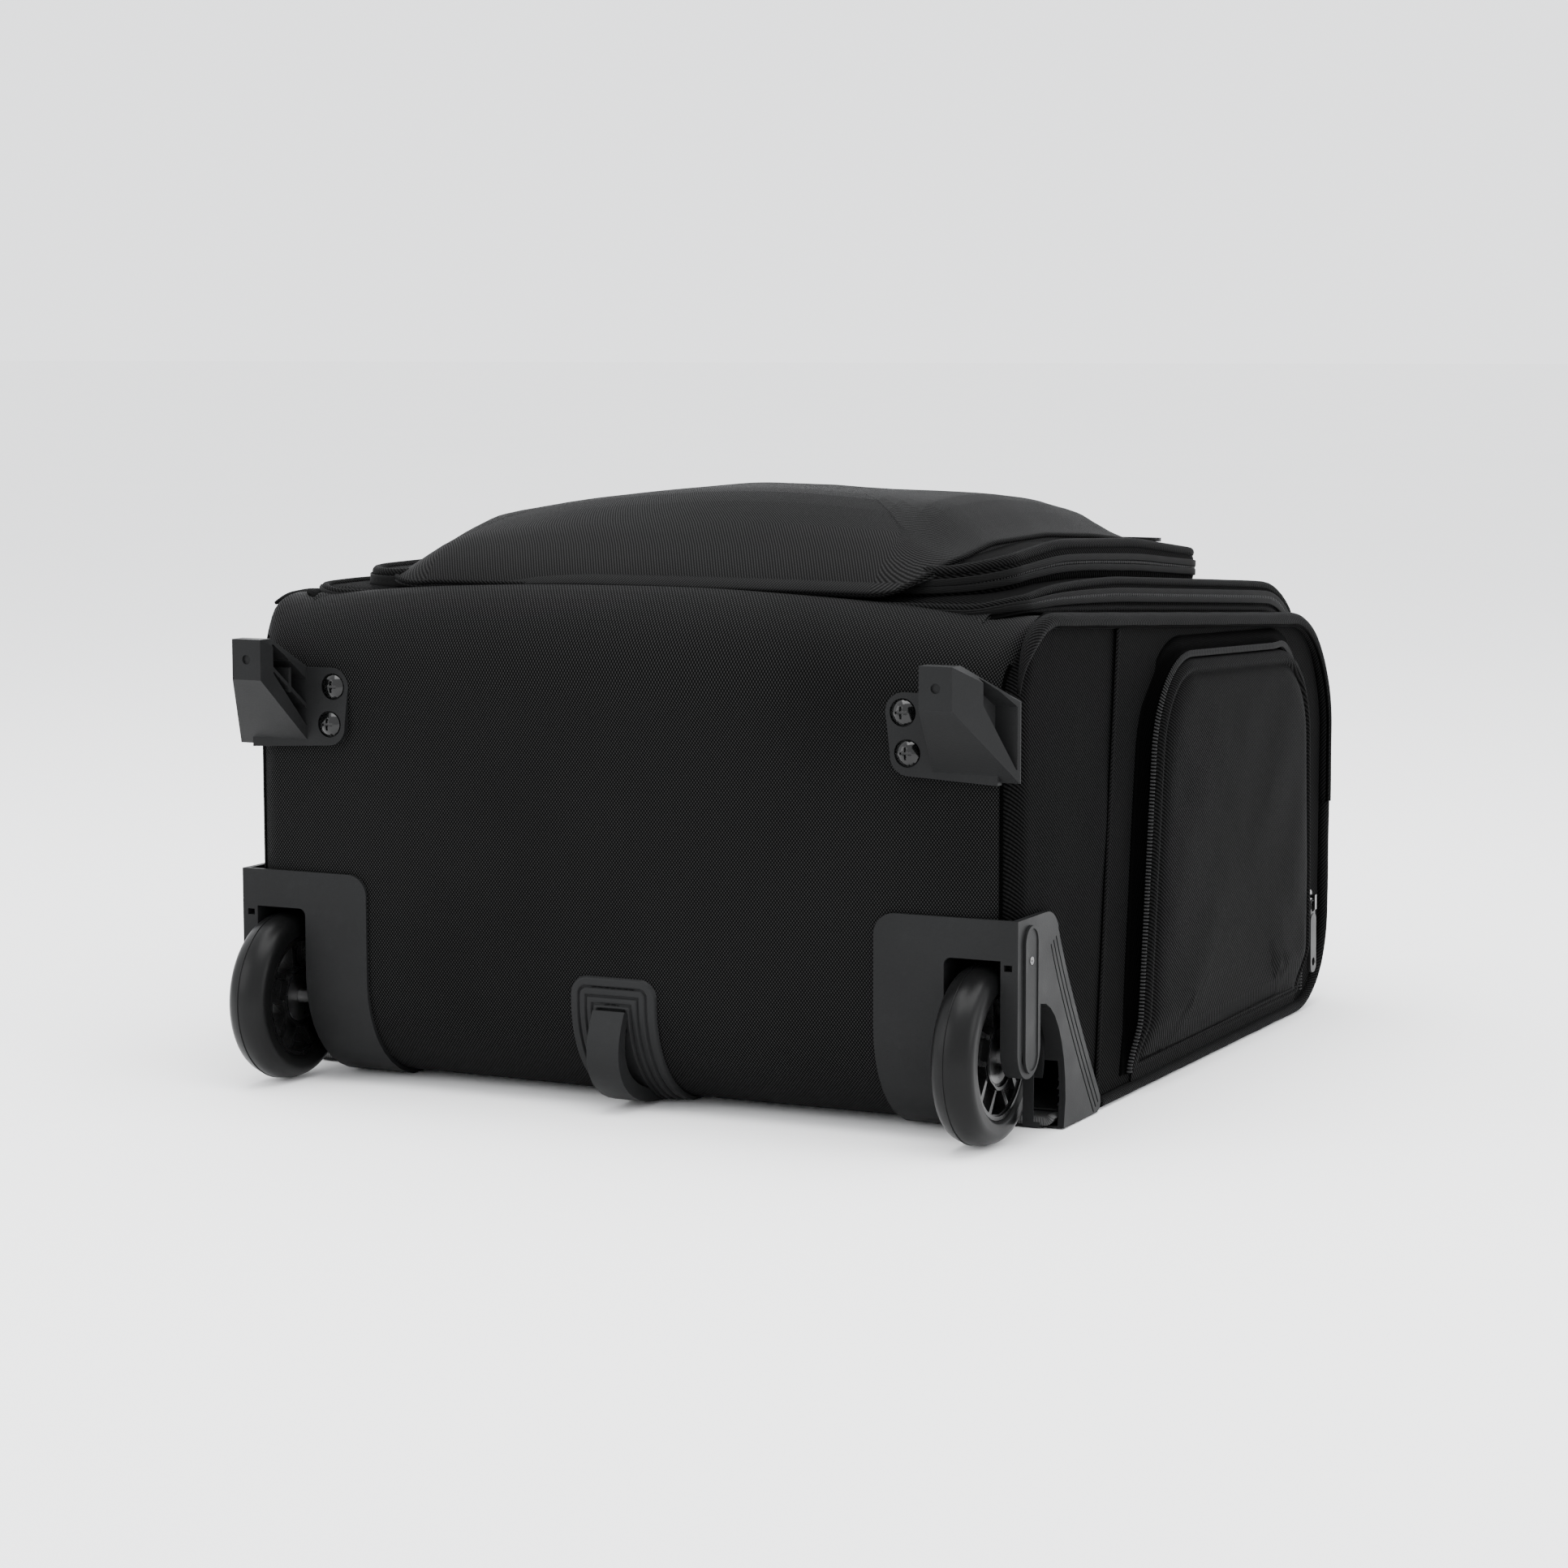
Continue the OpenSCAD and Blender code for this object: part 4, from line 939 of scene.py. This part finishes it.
# (inset, height, depth of the seam)
FLAP_PROFILE = [
    (30, -1.6, 0), (1.5, -1.6, 0), (0.2, -0.8, 0), (0.0, 0.6, 0), (0.0, 4.2, 0), (0.3, 5.6, 0),
    (0.9, 6.8, 0), (1.9, 7.7, 0), (3.2, 8.2, 0), (4.6, 8.2, 0), (5.6, 7.8, 0.3), (6.3, 7.4, 0.9),
    (7.0, 7.6, 1.0), (8.0, 8.2, 0.7), (9.6, 8.7, 0.4), (12, 9.2, 0.1), (16, 9.6, 0), (22, 9.9, 0),
    (29, 10.1, 0), (38, 10.2, 0), (50, 10.3, 0), (66, 10.3, 0), (82, 10.3, 0), (99, 10.3, 0)]
flap_rings = []
for inset, out, seam in FLAP_PROFILE:
    ring = flap_ring(inset, out)
    ring[:, 0] = HALF_W + flap_height(out, seam, ring) * np.where(out > 0, flap_low(ring[:, 2]), 1)
    if inset > 9:
        ring[:, 0] += 0.55 * ripple(ring, 30, 4.0) * smooth(9, 28, inset)
    flap_rings.append(ring)
flap = pillow("flap_cover", flap_rings, FLAP_CLOTH, "flap", "twill_fabric", (1, 2))
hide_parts("side_flap")


def zip_line(d, out, n=260):
    """A line round the flap: at the case's top end the zip lies flat, elsewhere it climbs the gusset."""
    near = resample(flap_line(d[0]), n)
    far = resample(flap_line(d[1]), n)
    share = smooth(290, 340, near[:, :1])
    yz = near * (1 - share) + far * share
    height = (out[0] * (1 - share[:, 0]) + out[1] * share[:, 0]) * flap_low(yz[:, 1])
    return np.stack([HALF_W + height, yz[:, 0], yz[:, 1]], -1)


# distance outside the flap and height above the side, each on the gusset and at the top end
GUSSET = (((9.5, 9.5), (0.2, 0.2)), ((6.2, 7.5), (0.5, 0.45)), ((4.4, 6), (1.0, 0.5)),
          ((3.3, 4.5), (2.6, 0.5)), ((2.5, 3), (4.6, 0.5)), ((1.0, 1.2), (5.2, 0.45)))
rows = [zip_line(d, out) for d, out in GUSSET]
# the gusset's tape is nearly black: the tape's own black plus painted shade in the deep gap beside the
# flap
tape = build("side_zip_cloth", *lattice(np.array(rows)), TAPE_AND_SHADE_CLOTH, "case", "zip_tape")
solidify(tape, 0.7, 0.0)
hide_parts("side_zip_tape")
coil("side_zip_coil", zip_line((1.9, 5.0), (5.4, 0.6), 400), (0.8, -0.5, 0))
fold = [(HALF_W + 0.5, 108 - 0.108 * (189 - z), z) for z in np.linspace(201, 6, 60)]
sweep("side_fold", fold, (1, 0, 0), round_section(2.6, 12, 0.45), SIDE_CLOTH, "case", "twill_fabric")
sweep("side_fold_seam", np.array(fold) + (0.3, -2.4, 0), (1, 0, 0), slab_section(0.7, 0.5, 0.2),
      TAPE_AND_SHADE_CLOTH, "case", "twill_fabric")

# ------------------------------------------------------------------ zip tapes of the lid and the top end
p, ups = layer_path("lid", -3.4, 0.0)
tape = sweep("lid_zip_cloth", p, ups, slab_section(5.6, 0.8, 0.3), TAPE_AND_SHADE_CLOTH, "case", "zip_tape",
             closed=True)
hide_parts("lid_zip_tape")
top_path = [(x, LENGTH + 0.2, 57) for x in np.linspace(-160, 168, 90)]
tape = sweep("top_zip_cloth", top_path, (0, 1, 0), slab_section(10, 0.9, 0.3), TAPE_AND_SHADE_CLOTH, "case",
             "zip_tape")
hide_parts("top_zip_tape")
coil("top_zip_coil", [(x, LENGTH + 0.9, 57) for x in np.linspace(-158, 166, 90)], (0, 1, 0))

# ------------------------------------------------------------------ carry handles
def carry(name, node, body, place):
    """A padded bar of webbing; place turns (along, across, out) into case mm."""
    n, m = 60, 20
    t = np.linspace(-1, 1, n)
    a = np.linspace(0, 2 * math.pi, m, endpoint=False)
    half_len = 66.0
    width = 12 + 4.0 * (1 - smooth(0.62, 0.95, np.abs(t)))
    width = width * (1 - 0.9 * smooth(0.965, 1.0, np.abs(t)))
    thick = 2.4 + 1.6 * (1 - smooth(0.6, 0.95, np.abs(t)))
    thick = thick * (1 - 0.8 * smooth(0.965, 1.0, np.abs(t)))
    across = np.sign(np.cos(a)) * np.abs(np.cos(a)) ** 0.7
    pts = np.zeros((n, m, 3))
    for i in range(n):
        height = 4.2 + thick[i] * np.sin(a) + 0.25 * math.sin(9 * t[i])
        pts[i] = place(half_len * t[i] * np.ones(m), width[i] * across, height)
    obj = build(name, *lattice(pts, wrap_v=True, ends=True), WEBBING, body, "handle_fabric")
    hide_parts(node)


carry("top_handle_pad", "top_handle", "top_carry",
      lambda u, v, w: np.stack([u, LENGTH + 4.4 + w, 112 + v], -1))
carry("left_handle_pad", "left_handle", "left_carry",
      lambda u, v, w: np.stack([-HALF_W - 0.6 - w, 215 + u, 108 + v], -1))

# ------------------------------------------------------------------ grab handle on the base
MOUNT_HW, MOUNT_TOP = 20.0, 56.0
mount_start = s_end - (MOUNT_TOP - 45.8)


def mount_shape():
    """Moulded pad with stepped rims that follow its outline, wrapped round the base's edge."""
    xs = np.linspace(-MOUNT_HW, MOUNT_HW, 121)
    s = np.linspace(mount_start, s_end + BODY.near(52, BACK_Z), 170)
    xx, ss = np.meshgrid(xs, s)
    corner = 8.0
    dx, dy = MOUNT_HW - np.abs(xx), ss - mount_start
    inset = np.minimum(dx, dy)
    round_off = (dx < corner) & (dy < corner)
    inset = np.where(round_off, corner - np.hypot(corner - dx, corner - dy), inset)
    steps = [(-9, -0.6), (0, 0.2), (0.4, 1.3), (1.0, 1.8), (3.7, 2.0), (4.1, 0.9), (4.7, 0.9),
             (5.1, 2.2), (7.4, 2.3), (7.7, 1.2), (8.3, 1.2), (8.7, 2.6), (10.6, 2.7), (10.9, 1.7),
             (11.4, 1.7), (11.8, 2.9), (40, 3.2)]
    height = np.interp(inset, [a for a, _ in steps], [b for _, b in steps])
    dent = smooth(6.8, 6.2, np.abs(xx)) * smooth(12.4, 13.2, dy) * smooth(21.8, 21.0, dy)
    p, _ = BODY.at(ss, height - 1.1 * dent)
    pts = np.stack([xx, p[..., 0], p[..., 1]], -1)
    pts[..., 2] = np.maximum(pts[..., 2], 0.15)
    return pts


mount = build("base_mount", *lattice(mount_shape(), flip=True), STRAP, "case", "strap_rubber")
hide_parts("base_handle_mount")
dress("base_handle_strap", STRAP, 1.3, 3)
for k, (inset, lift) in enumerate(((4.4, 1.2), (11.15, 2.0))):
    half = MOUNT_HW - inset - 3.0
    x = np.linspace(-half, half, 40)
    drop = inset + 2.2 * smooth(half - 4, half, np.abs(x))
    p, n = BODY.at(mount_start + drop, lift)
    stitches(f"mount_stitches_{k}", np.stack([x, p[:, 0], p[:, 1]], -1), (0, -1, 0), "strap_rubber",
             2.9)

# ------------------------------------------------------------------ hinge strips of fabric
def strip(name, pts, start, end, mat, slot):
    """A strip of cloth over a lattice of points, tied to no body. start and end are not used."""
    obj = build(name, *lattice(pts), mat, None, slot)
    point(*start)
    point(*end)
    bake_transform(obj)


u = np.linspace(-156, 156, 80)
q = np.linspace(-7, 5, 9)
pts = np.array([[front_at(x, t, 1.4 + 0.9 * math.sin(math.pi * (t + 7) / 12)) for x in u] for t in q])
strip("lid_hinge_cloth", pts, (0, 18, 206.6), (0, 29, 206.2), BASE_CLOTH,
      "ballistic_fabric")
u, q = np.linspace(129, 345, 60), np.linspace(0, 1, 8)
pts = np.array([[(HALF_W + 0.6 + 1.9 * t * t, y, 4 + 9 * t) for y in u] for t in q])
strip("flap_hinge_cloth", pts, (HALF_W, 237, 5), (HALF_W + 2, 237, 12.5), FLAP_CLOTH,
      "twill_fabric")

# ------------------------------------------------------------------ stage, light and camera
world = bpy.data.worlds.new("studio")
bpy.context.scene.world = world
world.use_nodes = True
background = world.node_tree.nodes["Background"]
background.inputs["Color"].default_value = (0.97, 0.98, 1.0, 1)
background.inputs["Strength"].default_value = 2.3

floor_half = 40.0
corners = [(floor_half * a, floor_half * b, FLOOR_Z) for a, b in ((-1, -1), (1, -1), (1, 1), (-1, 1))]
floor_mesh = bpy.data.meshes.new("floor")
floor_mesh.from_pydata(corners, [], [(0, 1, 2, 3)])
g = Graph("floor_paper")
paper = g.mix(g.noise(2.0), grey(0.93), grey(0.95))
floor_mesh.materials.append(g.surface(Base_Color=paper, Roughness=1.0, Specular_IOR_Level=0.0))
floor = bpy.data.objects.new("floor", floor_mesh)
bpy.context.scene.collection.objects.link(floor)


def area(name, place, target, size, power):
    light = bpy.data.lights.new(name, "AREA")
    light.shape, light.size, light.size_y, light.energy = "RECTANGLE", size[0], size[1], power
    obj = bpy.data.objects.new(name, light)
    bpy.context.scene.collection.objects.link(obj)
    obj.location = place
    obj.rotation_euler = (Vector(target) - Vector(place)).to_track_quat("-Z", "Y").to_euler()


area("top_light", (0.1, -0.2, 1.9), (0, 0, 0.1), (1.6, 1.6), 60)
area("front_light", (-1.3, -1.6, 0.9), (0, 0, 0.12), (1.2, 1.2), 14)
area("side_light", (2.0, -0.3, 0.9), (0, 0.05, 0.12), (1.2, 1.2), 20)

cam_data = bpy.data.cameras.new("camera")
cam_data.sensor_width, cam_data.lens = 36.0, 88.16
cam = bpy.data.objects.new("camera", cam_data)
bpy.context.scene.collection.objects.link(cam)
bpy.context.scene.camera = cam
cam.location = point(744.6, -1369.5, 317.6)
turn, pitch, roll = math.radians(25.96), math.radians(6.66), math.radians(-0.08)
ahead = Vector((-math.sin(turn) * math.cos(pitch), math.cos(turn) * math.cos(pitch), -math.sin(pitch)))
right = Vector((math.cos(turn), math.sin(turn), 0))
up = right.cross(ahead)
right, up = right * math.cos(roll) + up * math.sin(roll), up * math.cos(roll) - right * math.sin(roll)
cam.rotation_euler = Matrix((right, up, -ahead)).transposed().to_euler()
